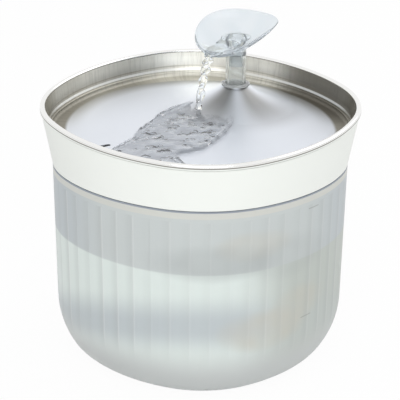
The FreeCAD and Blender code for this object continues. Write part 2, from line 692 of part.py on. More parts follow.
def make_filter_lid():
    top = number_of(CARRIER_TOP)
    low = top - dims.lid_height
    disc = cylinder(dims.pocket_radius + dims.lid_rest - dims.fit, low, top,
                    number_of(POCKET_X), number_of(POCKET_Y))
    lid = disc.cut(slot_row(dims.pocket_radius - dims.pocket_wall, low - PAST, top + PAST))
    return add_shape("filter_lid", lid)


# Riser: from the pump's nozzle to the step inside the spout tube

def make_riser():
    foot = "dims.pump_height + dims.volute_radius + dims.nozzle_collar"
    body = new_body("riser_tube", SPOUT_X, SPOUT_Y, foot)
    sketch = new_sketch(body, "riser_section", "XY_Plane")
    draw_circle(sketch, "dims.riser_radius")
    draw_circle(sketch, "dims.riser_bore")
    add_feature(body, "Pad", sketch, "riser_wall", f"{RISER_SEAT} - ({foot})")
    return body


# Pump: all its parts share the impeller's axis, which runs along X through the spout's axis

def pump_body(name, height="dims.pump_height"):
    """Body with its origin on the spout's axis and its X axis towards the motor."""
    body = new_body(name, SPOUT_X, SPOUT_Y, height)
    body.Placement.Rotation = FreeCAD.Rotation(UP, dims.pump_turn)
    body.setExpression(".Placement.Rotation.Angle", "dims.pump_turn")
    return body


def make_motor():
    body = pump_body("pump_housing")
    sketch = new_sketch(body, "can_outline", "YZ_Plane", "dims.pump_back")
    half_width = "dims.motor_width / 2"
    half_height = "dims.motor_height / 2"
    draw_box(sketch, f"-{half_width}", f"-{half_height}", half_width, half_height)
    can = add_feature(body, "Pad", sketch, "can", "dims.motor_length")
    doc.recompute()
    long_edges = edges_where(can.Shape, lambda edge: abs(edge.tangentAt(edge.FirstParameter).x) > 0.9)
    rounding = body.newObject("PartDesign::Fillet", "can_long_edges")
    rounding.Base = (can, long_edges)
    rounding.setExpression("Radius", "dims.motor_round")
    doc.recompute()
    rear = dims.pump_back + dims.motor_length
    rear_edges = edges_where(rounding.Shape, lambda edge: edge.CenterOfMass.x > rear - dims.motor_edge / 2)
    softened = body.newObject("PartDesign::Fillet", "can_rear_edges")
    softened.Base = (rounding, rear_edges)
    softened.setExpression("Radius", "dims.motor_edge")
    bore = new_sketch(body, "rotor_bore_outline", "YZ_Plane", "dims.pump_back")
    draw_circle(bore, "dims.rotor_bore")
    add_feature(body, "Pocket", bore, "rotor_well", "dims.rotor_depth", backwards=True)
    return body


def make_volute():
    body = pump_body("pump_volute")
    section = new_sketch(body, "volute_section", "XZ_Plane")
    inner = "dims.volute_radius - dims.volute_wall"
    face = "-dims.volute_front + dims.volute_wall"
    draw_polygon(section, (
        ("-dims.volute_front", "dims.eye_radius"), ("-dims.volute_front", "dims.volute_radius"),
        ("dims.pump_back", "dims.volute_radius"), ("dims.pump_back", inner),
        (face, inner), (face, "dims.eye_radius")))
    add_turn(body, "Revolution", section, "volute_turn", "H_Axis")
    root = "dims.volute_radius - dims.nozzle_root"
    nozzle = new_sketch(body, "nozzle_outline", "XY_Plane", root)
    draw_circle(nozzle, "dims.nozzle_radius")
    add_feature(body, "Pad", nozzle, "nozzle", f"dims.nozzle_top - ({root})")
    stop = new_sketch(body, "nozzle_stop_outline", "XY_Plane", root)
    draw_circle(stop, "dims.riser_radius")
    add_feature(body, "Pad", stop, "nozzle_stop", "dims.nozzle_root + dims.nozzle_collar")
    spokes = []
    for index in range(3):
        spoke = new_sketch(body, f"spoke_{index}_outline", "YZ_Plane", "-dims.volute_front")
        spoke.AttachmentOffset = FreeCAD.Placement(
            spoke.AttachmentOffset.Base, FreeCAD.Rotation(UP, index * FULL_TURN / 3))
        half = "dims.spoke_width / 2"
        draw_box(spoke, f"-{half}", "0", half, "dims.eye_radius + dims.spoke_width")
        spokes.append(add_feature(body, "Pad", spoke, f"spoke_{index}", "dims.volute_wall"))
    boss = new_sketch(body, "boss_outline", "YZ_Plane", "-dims.volute_front")
    draw_circle(boss, "dims.boss_radius")
    add_feature(body, "Pad", boss, "boss", "dims.bush_length + dims.volute_wall / 2")
    seat = new_sketch(body, "bush_seat_outline", "YZ_Plane",
                      "-dims.volute_front + dims.volute_wall / 2")
    draw_circle(seat, "dims.bush_radius")
    add_feature(body, "Pocket", seat, "bush_seat", "2 * dims.bush_length", backwards=True)
    bore = new_sketch(body, "nozzle_bore_outline", "XY_Plane", "dims.volute_radius / 2")
    draw_circle(bore, "dims.nozzle_bore")
    add_feature(body, "Pocket", bore, "nozzle_way", "2 * dims.nozzle_top", backwards=True)
    return body


def make_intake_cap():
    body = pump_body("intake_cap")
    section = new_sketch(body, "cap_section", "XZ_Plane")
    front = "-dims.volute_front - dims.cap_length"
    face = f"{front} + dims.cap_face"
    inner = "dims.volute_radius - dims.cap_face"
    draw_polygon(section, (
        (front, "0"), (front, "dims.volute_radius"), ("-dims.volute_front", "dims.volute_radius"),
        ("-dims.volute_front", inner), (face, inner), (face, "0")))
    add_turn(body, "Revolution", section, "cap_turn", "H_Axis")
    rails = new_sketch(body, "rail_outline", "YZ_Plane", front)
    half = "dims.slider_width / 2 + dims.fit"
    reach = "dims.slider_height / 2 + dims.slider_travel / 2"
    for side in ("", "-"):
        near = f"{side}({half})"
        far = f"{side}({half} + dims.cap_face)"
        draw_box(rails, near if side == "" else far, f"-({reach})",
                 far if side == "" else near, reach)
    add_feature(body, "Pad", rails, "rails", "dims.rail_height", backwards=True)
    slots = new_sketch(body, "grille_outline", "YZ_Plane", front)
    for index in (-2, -1, 0, 1, 2):
        middle = f"{index} * dims.grille_pitch"
        reach = "dims.volute_radius - 2 * dims.cap_face"
        run = f"sqrt(({reach}) ^ 2 - ({middle}) ^ 2) - dims.cap_face"
        half_slot = "dims.grille_slot / 2"
        draw_box(slots, f"{middle} - {half_slot}", f"-{run}", f"{middle} + {half_slot}", run)
    add_feature(body, "Pocket", slots, "grille", "2 * dims.cap_face", backwards=True)
    return body


def make_flow_slider():
    front = "-dims.volute_front - dims.cap_length - dims.slide_fit"
    body = pump_body("flow_slider")
    plate = new_sketch(body, "slider_outline", "YZ_Plane", front)
    half = "dims.slider_width / 2"
    low = "-dims.slider_height / 2 - dims.slider_travel / 2"
    high = "dims.slider_height / 2 - dims.slider_travel / 2"
    draw_box(plate, f"-{half}", low, half, high)
    add_feature(body, "Pad", plate, "slider_plate", "dims.slider_thick", backwards=True)
    thumb = new_sketch(body, "thumb_outline", "YZ_Plane", front)
    draw_box(thumb, "-dims.slider_width / 3", f"{high} - 2 * dims.slider_thick",
             "dims.slider_width / 3", high)
    add_feature(body, "Pad", thumb, "thumb_rib", "2 * dims.slider_thick", backwards=True)
    return body


def make_foam():
    body = pump_body("foam_prefilter")
    back = "-dims.volute_front - dims.fit"
    sketch = new_sketch(body, "foam_outline", "YZ_Plane", back)
    draw_circle(sketch, "dims.volute_radius - dims.cap_face - dims.fit")
    add_feature(body, "Pad", sketch, "foam_disc", "dims.cap_length - dims.cap_face - 2 * dims.fit",
                backwards=True)
    return body


# Places along the pump's axis
BUSH_FRONT = "-dims.volute_front + dims.volute_wall / 2"
IMPELLER_FRONT = f"{BUSH_FRONT} + dims.bush_length + dims.fit"
DISC_FRONT = f"{IMPELLER_FRONT} + dims.blade_height"
ROTOR_FRONT = f"{DISC_FRONT} + dims.disc_height"
WELL_END = "dims.pump_back + dims.rotor_depth"


def make_impeller():
    body = pump_body("impeller")
    disc = new_sketch(body, "disc_outline", "YZ_Plane", DISC_FRONT)
    draw_circle(disc, "dims.blade_radius")
    add_feature(body, "Pad", disc, "disc", "dims.disc_height")
    hub = new_sketch(body, "hub_outline", "YZ_Plane", IMPELLER_FRONT)
    draw_circle(hub, "dims.hub_radius")
    add_feature(body, "Pad", hub, "hub", "dims.blade_height + dims.disc_height")
    blade = new_sketch(body, "blade_outline", "YZ_Plane", IMPELLER_FRONT)
    half = "dims.blade_wall / 2"
    draw_box(blade, "dims.hub_radius / 2", f"-{half}", "dims.blade_radius - dims.blade_wall", half)
    fin = add_feature(body, "Pad", blade, "blade", "dims.blade_height + dims.disc_height / 2")
    add_polar(body, [fin], "X_Axis", "dims.blade_count", "blades")
    bore = new_sketch(body, "impeller_bore_outline", "YZ_Plane", IMPELLER_FRONT)
    draw_circle(bore, "dims.shaft_radius + dims.slide_fit")
    way = add_feature(body, "Pocket", bore, "impeller_bore", "3 * dims.blade_height", both_ways=True)
    body.Tip = way
    return body


def make_rotor():
    body = pump_body("rotor_magnet")
    sketch = new_sketch(body, "rotor_outline", "YZ_Plane", ROTOR_FRONT)
    draw_circle(sketch, "dims.rotor_radius")
    draw_circle(sketch, "dims.shaft_radius + dims.slide_fit")
    add_feature(body, "Pad", sketch, "rotor", "dims.rotor_length")
    return body


def make_shaft():
    body = pump_body("rotor_shaft")
    sketch = new_sketch(body, "shaft_outline", "YZ_Plane", BUSH_FRONT)
    draw_circle(sketch, "dims.shaft_radius")
    add_feature(body, "Pad", sketch, "shaft", f"{WELL_END} - ({BUSH_FRONT})")
    return body


def make_bushes():
    body = pump_body("shaft_bushes")
    for name, start in (("front_bush", BUSH_FRONT), ("rear_bush", f"{WELL_END} - dims.bush_length")):
        sketch = new_sketch(body, f"{name}_outline", "YZ_Plane", start)
        draw_circle(sketch, "dims.bush_radius")
        draw_circle(sketch, "dims.shaft_radius")
        add_feature(body, "Pad", sketch, name, "dims.bush_length")
    return body


def make_gland():
    body = pump_body("cable_gland", "dims.pump_height + dims.gland_rise")
    sketch = new_sketch(body, "gland_section", "XZ_Plane")
    hole = "dims.cable_hole / 2"
    root = "dims.pump_back + dims.motor_length"
    end = f"{root} + dims.gland_length"
    draw_polygon(sketch, (
        (root, hole), (root, "dims.gland_radius"), (end, "dims.gland_tip"), (end, hole)))
    add_turn(body, "Revolution", sketch, "gland_turn", "H_Axis")
    return body


def make_suction_cups():
    body = pump_body("suction_cups", "dims.pad_proud + dims.bowl_wall")
    middle = "dims.pump_back + dims.motor_length / 2"
    top = "dims.pump_height - dims.motor_height / 2 - dims.pad_proud - dims.bowl_wall"
    levels = (("lips", "0", "dims.cup_radius", f"({top}) / 3"),
              ("stems", f"({top}) / 3", "dims.cup_stem", f"2 * ({top}) / 3"))
    for name, start, radius, length in levels:
        sketch = new_sketch(body, f"{name}_outline", "XY_Plane", start)
        for side_x in ("", "-"):
            for side_y in ("", "-"):
                draw_circle(sketch, radius, f"{middle} + {side_x}dims.cup_spacing_x / 2",
                            f"{side_y}dims.cup_spacing_y / 2")
        add_feature(body, "Pad", sketch, name, length)
    return body


def make_all():
    make_bowl()
    make_ground_pads()
    make_collar()
    make_notch_plug()
    make_tray()
    make_grommet()
    make_spout_tube()
    make_leaf()
    make_filter_carrier()
    make_filter_pad()
    make_filter_lid()
    make_riser()
    make_motor()
    make_volute()
    make_intake_cap()
    make_flow_slider()
    make_foam()
    make_impeller()
    make_rotor()
    make_shaft()
    make_bushes()
    make_gland()
    make_suction_cups()


def is_sub_part(item):
    """True for the objects that are pieces of the fountain."""
    if item.TypeId == "PartDesign::Body":
        return True
    return item.TypeId == "Part::Feature"


def write_parts():
    """Check the document and write one file for each piece."""
    doc.recompute()
    for item in doc.Objects:
        if "Invalid" in item.State or "Error" in item.State:
            raise RuntimeError(f"{item.Label} did not build: {item.State}")
    os.makedirs("parts", exist_ok=True)
    for item in filter(is_sub_part, doc.Objects):
        if item.Shape.isNull() or not item.Shape.isValid() or not item.Shape.Solids:
            raise RuntimeError(f"{item.Label} has no valid shape")
        item.Shape.exportStep(f"parts/{item.Label}.step")
        print(f"{item.Label}: {len(item.Shape.Solids)} solids, {item.Shape.Volume:.0f} mm3")


make_all()
write_parts()
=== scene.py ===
import json
import logging
import math
from dataclasses import dataclass
from enum import Enum
from typing import Sequence, Union

import bpy
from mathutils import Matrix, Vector

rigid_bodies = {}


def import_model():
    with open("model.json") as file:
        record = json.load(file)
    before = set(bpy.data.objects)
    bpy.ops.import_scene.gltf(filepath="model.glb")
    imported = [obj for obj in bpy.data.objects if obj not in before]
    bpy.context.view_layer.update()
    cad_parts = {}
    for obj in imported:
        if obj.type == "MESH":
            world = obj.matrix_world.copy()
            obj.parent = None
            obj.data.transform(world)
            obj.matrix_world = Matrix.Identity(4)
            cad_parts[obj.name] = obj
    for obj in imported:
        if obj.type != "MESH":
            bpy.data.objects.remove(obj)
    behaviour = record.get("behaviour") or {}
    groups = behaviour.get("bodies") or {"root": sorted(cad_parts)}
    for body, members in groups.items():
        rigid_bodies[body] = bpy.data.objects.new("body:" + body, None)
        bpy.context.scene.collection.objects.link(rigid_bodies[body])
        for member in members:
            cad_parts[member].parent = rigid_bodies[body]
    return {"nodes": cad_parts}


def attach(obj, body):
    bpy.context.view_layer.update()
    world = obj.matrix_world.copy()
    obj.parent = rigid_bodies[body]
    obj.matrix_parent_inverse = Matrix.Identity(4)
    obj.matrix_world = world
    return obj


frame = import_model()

# Pet water fountain: finishes, flowing water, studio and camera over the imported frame.
# Metres; Z points up, the front is towards -Y.

LOG = logging.getLogger("fountain")
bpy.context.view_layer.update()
MM = 0.001
UP = Vector((0.0, 0.0, 1.0))

Colour = tuple[float, float, float]
Place = tuple[float, float, float]
Operand = Union[float, "Value"]


class Ride(Enum):
    """Bodies of the frame that new pieces ride on."""

    BOWL = "bowl"
    TRAY = "tray"
    LEAF = "leaf"


# Shader arithmetic

class Value:
    """A shader socket that takes part in arithmetic."""

    def __init__(self, graph: "Graph", socket: bpy.types.NodeSocket) -> None:
        """Keep the socket and the graph it belongs to.

        Args:
            graph: Node graph that new nodes are added to.
            socket: Output socket that carries the value.
        """
        self.graph = graph
        self.socket = socket

    def __add__(self, other: Operand) -> "Value":
        """Sum of two values."""
        return self.graph.maths("ADD", self, other)

    __radd__ = __add__

    def __sub__(self, other: Operand) -> "Value":
        """Difference of two values."""
        return self.graph.maths("SUBTRACT", self, other)

    def __rsub__(self, other: Operand) -> "Value":
        """Difference with the plain number first."""
        return self.graph.maths("SUBTRACT", other, self)

    def __mul__(self, other: Operand) -> "Value":
        """Product of two values."""
        return self.graph.maths("MULTIPLY", self, other)

    __rmul__ = __mul__

    def __truediv__(self, other: Operand) -> "Value":
        """Quotient of two values."""
        return self.graph.maths("DIVIDE", self, other)

    def absolute(self) -> "Value":
        """Size without the sign."""
        return self.graph.maths("ABSOLUTE", self)

    def fraction(self) -> "Value":
        """Part after the decimal point."""
        return self.graph.maths("FRACT", self)

    def step(self, low: float, high: float) -> "Value":
        """Smooth step from 0 at the first number to 1 at the second.

        Args:
            low: Input that gives 0.
            high: Input that gives 1.

        Returns:
            The stepped value, held between 0 and 1.
        """
        turned = low > high
        inputs = {"Value": self, "From Min": min(low, high), "From Max": max(low, high),
                  "To Min": float(turned), "To Max": float(not turned)}
        node = self.graph.node("ShaderNodeMapRange", {"interpolation_type": "SMOOTHSTEP"}, inputs)
        return self.graph.out(node)


@dataclass(frozen=True)
class Spot:
    """Object coordinates of a surface point, whole and split."""

    vector: Value
    x: Value
    y: Value
    z: Value


class Graph:
    """A node tree that is written as expressions."""

    def __init__(self, tree: bpy.types.NodeTree) -> None:
        """Empty the tree and keep it.

        Args:
            tree: Node tree of a material or a world.
        """
        self.tree = tree
        self.tree.nodes.clear()

    def node(self, kind: str, settings: dict | None = None,
             inputs: dict | None = None) -> bpy.types.Node:
        """Add a node, set it up, and give its sockets their values or links.

        Args:
            kind: Node type.
            settings: Properties of the node, set first.
            inputs: Socket name or number to a plain value or a Value.

        Returns:
            The new node.
        """
        node = self.tree.nodes.new(kind)
        for key, setting in (settings or {}).items():
            setattr(node, key, setting)
        for key, value in (inputs or {}).items():
            if isinstance(value, Value):
                self.tree.links.new(value.socket, node.inputs[key])
            else:
                node.inputs[key].default_value = value
        return node

    def out(self, node: bpy.types.Node, output: int | str = 0) -> Value:
        """One output of a node as a Value."""
        return Value(self, node.outputs[output])

    def maths(self, operation: str, *operands: Operand) -> Value:
        """Result of a Math node on one or two operands."""
        inputs = dict(enumerate(operands))
        return self.out(self.node("ShaderNodeMath", {"operation": operation}, inputs))

    def spot(self) -> Spot:
        """Object coordinates of the shaded point."""
        vector = self.out(self.node("ShaderNodeTexCoord"), "Object")
        split = self.node("ShaderNodeSeparateXYZ", None, {0: vector})
        return Spot(vector, self.out(split, 0), self.out(split, 1), self.out(split, 2))

    def vector(self, x: Operand, y: Operand, z: Operand) -> Value:
        """Vector of three values."""
        return self.out(self.node("ShaderNodeCombineXYZ", None, {0: x, 1: y, 2: z}))

    def noise(self, vector: Value, scale: float, detail: float = 2.0,
              rough: float = 0.5, warp: float = 0.0) -> Value:
        """Soft noise between 0 and 1.

        Args:
            vector: Where the pattern is read.
            scale: Features per unit of the vector.
            detail: Number of finer layers.
            rough: Share that each finer layer adds.
            warp: How far the pattern is bent by itself.

        Returns:
            The noise value.
        """
        inputs = {"Vector": vector, "Scale": scale, "Detail": detail, "Roughness": rough,
                  "Distortion": warp}
        return self.out(self.node("ShaderNodeTexNoise", None, inputs))

    def blend(self, share: Operand, first: Colour | Value, second: Colour | Value) -> Value:
        """Mix of two colours.

        Args:
            share: 0 gives the first colour and 1 the second.
            first: Colour or colour Value.
            second: Colour or colour Value.

        Returns:
            The mixed colour.
        """
        colours = [c if isinstance(c, Value) else (*c, 1.0) for c in (first, second)]
        inputs = {0: share, 6: colours[0], 7: colours[1]}
        return self.out(self.node("ShaderNodeMix", {"data_type": "RGBA"}, inputs), 2)

    def bump(self, height: Value, depth: float) -> Value:
        """Normal of a surface raised by a height.

        Args:
            height: Height between 0 and 1.
            depth: Height of 1 in metres.

        Returns:
            The bent normal.
        """
        return self.out(self.node("ShaderNodeBump", None, {"Height": height, "Distance": depth}))

    def surface(self, inputs: dict) -> Value:
        """Principled shader with the given sockets."""
        return self.out(self.node("ShaderNodeBsdfPrincipled", None, inputs))

    def mixed(self, share: Operand, first: Value, second: Value) -> Value:
        """Mix of two shaders."""
        return self.out(self.node("ShaderNodeMixShader", None, {0: share, 1: first, 2: second}))

    def seen(self) -> Value:
        """Mask of the rays that show a surface: from the camera, in gloss or through glass.

        Returns:
            1 for such a ray and 0 for any other.
        """
        rays = self.node("ShaderNodeLightPath")
        indirect = self.maths("MAXIMUM", self.out(rays, "Is Glossy Ray"),
                              self.out(rays, "Is Transmission Ray"))
        return self.maths("MAXIMUM", self.out(rays, "Is Camera Ray"), indirect)

    def finish(self, shader: Value, kind: str = "ShaderNodeOutputMaterial") -> None:
        """Lead a shader to the tree's output."""
        self.node(kind, None, {"Surface": shader})


def linear(red: int, green: int, blue: int) -> Colour:
    """Linear colour of a screen colour.

    Args:
        red: Red from 0 to 255.
        green: Green from 0 to 255.
        blue: Blue from 0 to 255.

    Returns:
        The colour as a shader takes it.
    """
    def channel(level: int) -> float:
        """Linear share of one channel."""
        share = level / 255
        return share / 12.92 if share <= 0.04045 else ((share + 0.055) / 1.055) ** 2.4
    return channel(red), channel(green), channel(blue)


def darker(colour: Colour, share: float) -> Colour:
    """The same colour at a share of its light."""
    return tuple(share * channel for channel in colour)


# Finishes

WHITE: Colour = (1.0, 1.0, 1.0)
WARM_BLUR: Colour = linear(214, 209, 194)
# Grey of the painted shade on the bowl wall.
PAINTED_SHADE_GREY: Colour = linear(176, 182, 181)


class Finish:
    """A surface finish that can make its material."""

    name = "finish"

    def shade(self, graph: Graph) -> Value:
        """Shader of the finish.

        Args:
            graph: Graph of the material.

        Returns:
            The surface shader.
        """
        raise NotImplementedError

    def material(self) -> bpy.types.Material:
        """Make the material of the finish, once.

        Returns:
            The material, new or made before.
        """
        known = bpy.data.materials.get(self.name)
        if known:
            return known
        made = bpy.data.materials.new(self.name)
        made.use_nodes = True
        graph = Graph(made.node_tree)
        graph.finish(self.shade(graph))
        return made


@dataclass(frozen=True)
class MouldedPlastic(Finish):
    """Opaque moulded plastic with a fine satin grain."""

    name: str = "satin_white_plastic"
    colour: Colour = linear(231, 234, 230)
    shade_colour: Colour = linear(226, 229, 224)
    roughness: float = 0.42
    grain: float = 0.00003
    grain_scale: float = 2600.0

    def shade(self, graph: Graph) -> Value:
        """Slightly uneven colour and gloss over a fine grain."""
        spot = graph.spot()
        cloud = graph.noise(spot.vector, 9.0)
        grain = graph.noise(spot.vector, self.grain_scale, 1.0)
        return graph.surface({
            "Base Color": graph.blend(cloud, self.colour, self.shade_colour),
            "Roughness": cloud * 0.12 + (self.roughness - 0.06),
            "IOR": 1.47,
            "Normal": graph.bump(grain, self.grain)})


@dataclass(frozen=True)
class Blur:
    """Soft patch on the front of the wall, in millimetres: warm ones for the pump seen through it,
    grey ones painted shade.
    """

    x: float
    z: float
    half_width: float
    half_height: float
    colour: Colour
    share: float


@dataclass(frozen=True)
class LevelLine:
    """Short plain line on the front right of the wall."""

    left: float
    right: float
    level: float


@dataclass(frozen=True)
class FrostedPlastic(Finish):
    """Milky bowl wall with upright flutes inside and two plain level lines, its light and shade
    painted into its colour.
    """

    name: str = "frosted_plastic_fluted"
    # Above the water: painted shade, deeper and bluer towards the sides.
    shaded_dry: Colour = linear(214, 220, 219)
    shaded_dry_side: Colour = linear(199, 207, 212)
    # Below the water: painted light.
    lit_wet: Colour = linear(238, 247, 243)
    # Band of painted floor reflection low in the water.
    wet_reflected_band: Colour = linear(203, 211, 214)
    # Painted shade on the right of the water.
    wet_right_shade: Colour = linear(201, 207, 200)
    foot: Colour = linear(213, 217, 216)
    skirt: Colour = linear(224, 225, 219)
    # Painted shadow line at the joint with the collar.
    seam_shadow: Colour = linear(160, 168, 180)
    print_colour: Colour = linear(150, 152, 148)
    roughness: float = 0.42
    transmission: float = 0.3
    half_width: float = 100.0 * MM
    side: tuple[float, float] = (0.6, 1.0)
    water_level: float = 93.5 * MM
    water_edge: float = 0.7 * MM
    flutes: int = 48
    flute_low: float = 22.0 * MM
    flute_high: float = 129.0 * MM
    flute_run_out: float = 20.0 * MM
    flute_edge: float = 0.12
    flute_depth: float = 0.14 * MM
    flute_light: float = 0.26
    flute_shade: float = 0.42
    top_edge: float = 137.0 * MM
    skirt_band: tuple[float, float] = (5.4 * MM, 4.8 * MM)
    seam_shadow_band: tuple[float, float] = (1.2 * MM, 0.8 * MM)
    dull_from: float = 14.0 * MM
    dull_to: float = 62.0 * MM
    band_slope: float = 0.31
    band_top: tuple[float, float] = (51.0 * MM, 29.0 * MM)
    band_foot: tuple[float, float] = (4.0 * MM, 24.0 * MM)
    foot_band: tuple[float, float] = (46.0 * MM, 14.0 * MM)
    lines: tuple[LevelLine, ...] = (
        LevelLine(65.8 * MM, 72.8 * MM, 127.0 * MM), LevelLine(62.7 * MM, 69.9 * MM, 50.0 * MM))
    line_height: float = 0.45 * MM
    line_edge: float = 0.3 * MM
    line_share: float = 0.55
    # Warm patches for the pump seen through the wall, grey patches of painted shade.
    blurs: tuple[Blur, ...] = (
        Blur(36.0, 50.0, 36.0, 17.0, WARM_BLUR, 0.6), Blur(60.0, 62.0, 22.0, 16.0, WARM_BLUR, 0.45),
        Blur(28.0, 111.0, 30.0, 12.0, WARM_BLUR, 0.45),
        Blur(2.0, 101.0, 50.0, 15.0, PAINTED_SHADE_GREY, 0.5), Blur(52.0, 98.0, 34.0, 18.0, PAINTED_SHADE_GREY, 0.3))

    def level_line(self, spot: Spot, line: LevelLine) -> Value:
        """Mask of one level line.

        Args:
            spot: Point that is shaded.
            line: The line.

        Returns:
            1 on the line and 0 off it.
        """
        across = spot.x.step(line.left - self.line_edge, line.left) \
            * spot.x.step(line.right + self.line_edge, line.right)
        upright = (spot.z - line.level).absolute().step(self.line_height, self.line_height / 2)
        return across * upright * spot.y.step(0.0, -1.0 * MM)

    @staticmethod
    def patch(spot: Spot, blur: Blur) -> Value:
        """Mask of one soft patch.

        Args:
            spot: Point that is shaded.
            blur: The patch.

        Returns:
            1 in the middle of the patch, falling to 0 at its edge.
        """
        across = (spot.x - blur.x * MM) / (blur.half_width * MM)
        upright = (spot.z - blur.z * MM) / (blur.half_height * MM)
        front = spot.y.step(0.0, -20.0 * MM)
        return (across * across + upright * upright).step(1.0, 0.1) * front

    def depths(self, graph: Graph, spot: Spot, sideways: Value) -> Value:
        """Colour of the wall: painted shade above the water, painted light below it with a band of
        painted reflection and painted shade on the right, darker towards the foot, and what shows
        dimly through it.

        Args:
            graph: Graph of the material.
            spot: Point that is shaded.
            sideways: 0 at the front and back and 1 at the sides.

        Returns:
            The wall's colour before its flutes.
        """
        # Painted shade above the water, deeper and bluer towards the sides.
        shaded_dry = graph.blend(sideways * 0.8, self.shaded_dry, self.shaded_dry_side)
        # Painted shade on the right of the water.
        dull = spot.x.step(self.dull_from, self.dull_to)
        # Tilted band of painted floor reflection low in the water.
        slope = spot.z + spot.y * self.band_slope
        band = slope.step(*self.band_top) * slope.step(*self.band_foot)
        # Painted light below the water, with painted shade on the right and a band of painted
        # reflection laid over it.
        lit_wet = graph.blend(dull * 0.9, self.lit_wet, self.wet_right_shade)
        lit_wet = graph.blend(band * (1 - dull * 0.8) * 0.95, lit_wet, self.wet_reflected_band)
        # Darker towards the foot.
        lit_wet = graph.blend(spot.z.step(*self.foot_band), lit_wet, self.foot)
        under = spot.z.step(self.water_level + self.water_edge, self.water_level - self.water_edge)
        colour = graph.blend(under, shaded_dry, lit_wet)
        # Soft patches: warm ones for the pump seen through the wall, grey ones painted shade.
        cloud = graph.noise(spot.vector, 55.0, 1.0)
        for blur in self.blurs:
            mask = self.patch(spot, blur) * (cloud * 1.1 + 0.25)
            colour = graph.blend(mask * blur.share, colour, blur.colour)
        return colour

    def fluting(self, graph: Graph, spot: Spot, colour: Value, flute: Value,
                ridge: Value) -> Value:
        """Painted highlight on the edge and painted shade on the flank of each flute, clearer
        towards the sides.

        Args:
            graph: Graph of the material.
            spot: Point that is shaded.
            colour: Colour of the wall.
            flute: Place across the flute, from 0 to 1.
            ridge: Mask of the ridges between the flutes.

        Returns:
            The wall's colour with its flutes.
        """
        angle = graph.maths("ARCTAN2", spot.y, spot.x)
        uneven = graph.noise(graph.vector(angle * 3.0, spot.z * 2.0, 0.4), 2.2, 1.0)
        clearer = (spot.x / self.half_width).absolute().step(0.1, 0.8) * 0.7 + 0.3
        # Painted highlight on the ridges and painted shade on the flanks.
        light = ridge * uneven.step(0.3, 0.7) * clearer * self.flute_light
        shade = flute.step(0.4, 1 - self.flute_edge) * self.fluted(spot) * uneven * clearer
        colour = graph.blend(light, colour, WHITE)
        return graph.blend(shade * self.flute_shade, colour, PAINTED_SHADE_GREY)

    def fluted(self, spot: Spot) -> Value:
        """Mask of the heights that have flutes."""
        low = spot.z.step(self.flute_low, self.flute_low + self.flute_run_out)
        return low * spot.z.step(self.flute_high + MM, self.flute_high)

    def shade(self, graph: Graph) -> Value:
        """Painted light and shade, water line and flutes of the milky wall over a rough clear body.
        """
        spot = graph.spot()
        angle = graph.maths("ARCTAN2", spot.y, spot.x)
        flute = (angle * (self.flutes / math.tau) + self.flutes).fraction()
        edge = flute.step(self.flute_edge, 0.0) + flute.step(1 - self.flute_edge, 1.0)
        fluted = self.fluted(spot)
        drift = graph.noise(graph.vector(spot.x, spot.y, spot.z * 0.35), 14.0, 2.0)
        sideways = (spot.x / self.half_width).absolute().step(*self.side)
        colour = self.depths(graph, spot, sideways)
        colour = graph.blend(drift * fluted * 0.12, colour, self.shaded_dry_side)
        colour = self.fluting(graph, spot, colour, flute, edge * fluted)
        # A pale band where the collar's skirt shows through, and a painted shadow line at the joint
        # with the collar.
        for (low, high), tint in ((self.skirt_band, self.skirt), (self.seam_shadow_band, self.seam_shadow)):
            mask = spot.z.step(self.top_edge - low, self.top_edge - high)
            colour = graph.blend(mask, colour, tint)
        first, second = (self.level_line(spot, line) for line in self.lines)
        lines = first + second
        colour = graph.blend(lines * self.line_share, colour, self.print_colour)
        return graph.surface({
            "Base Color": colour,
            "Roughness": drift * 0.1 + (self.roughness - 0.05),
            "IOR": 1.45,
            "Transmission Weight": self.transmission,
            "Normal": graph.bump(edge * fluted + lines * 0.5, self.flute_depth)})


@dataclass(frozen=True)
class ClearPlastic(Finish):
    """Clear pale-blue moulded plastic with a faint flow pattern."""

    name: str = "clear_plastic_moulded"
    colour: Colour = linear(236, 243, 250)
    roughness: float = 0.03
    index: float = 1.45
    clear: float = 1.0
    ripple: float = 0.00006

    def shade(self, graph: Graph) -> Value:
        """Glassy body whose surface is not quite flat."""
        spot = graph.spot()
        flow = graph.noise(spot.vector, 90.0, 1.0)
        return graph.surface({
            "Base Color": graph.blend(flow * 0.4, self.colour, WHITE),
            "Roughness": flow * 0.04 + self.roughness,
            "IOR": self.index,
            "Transmission Weight": self.clear,
            "Normal": graph.bump(flow, self.ripple)})


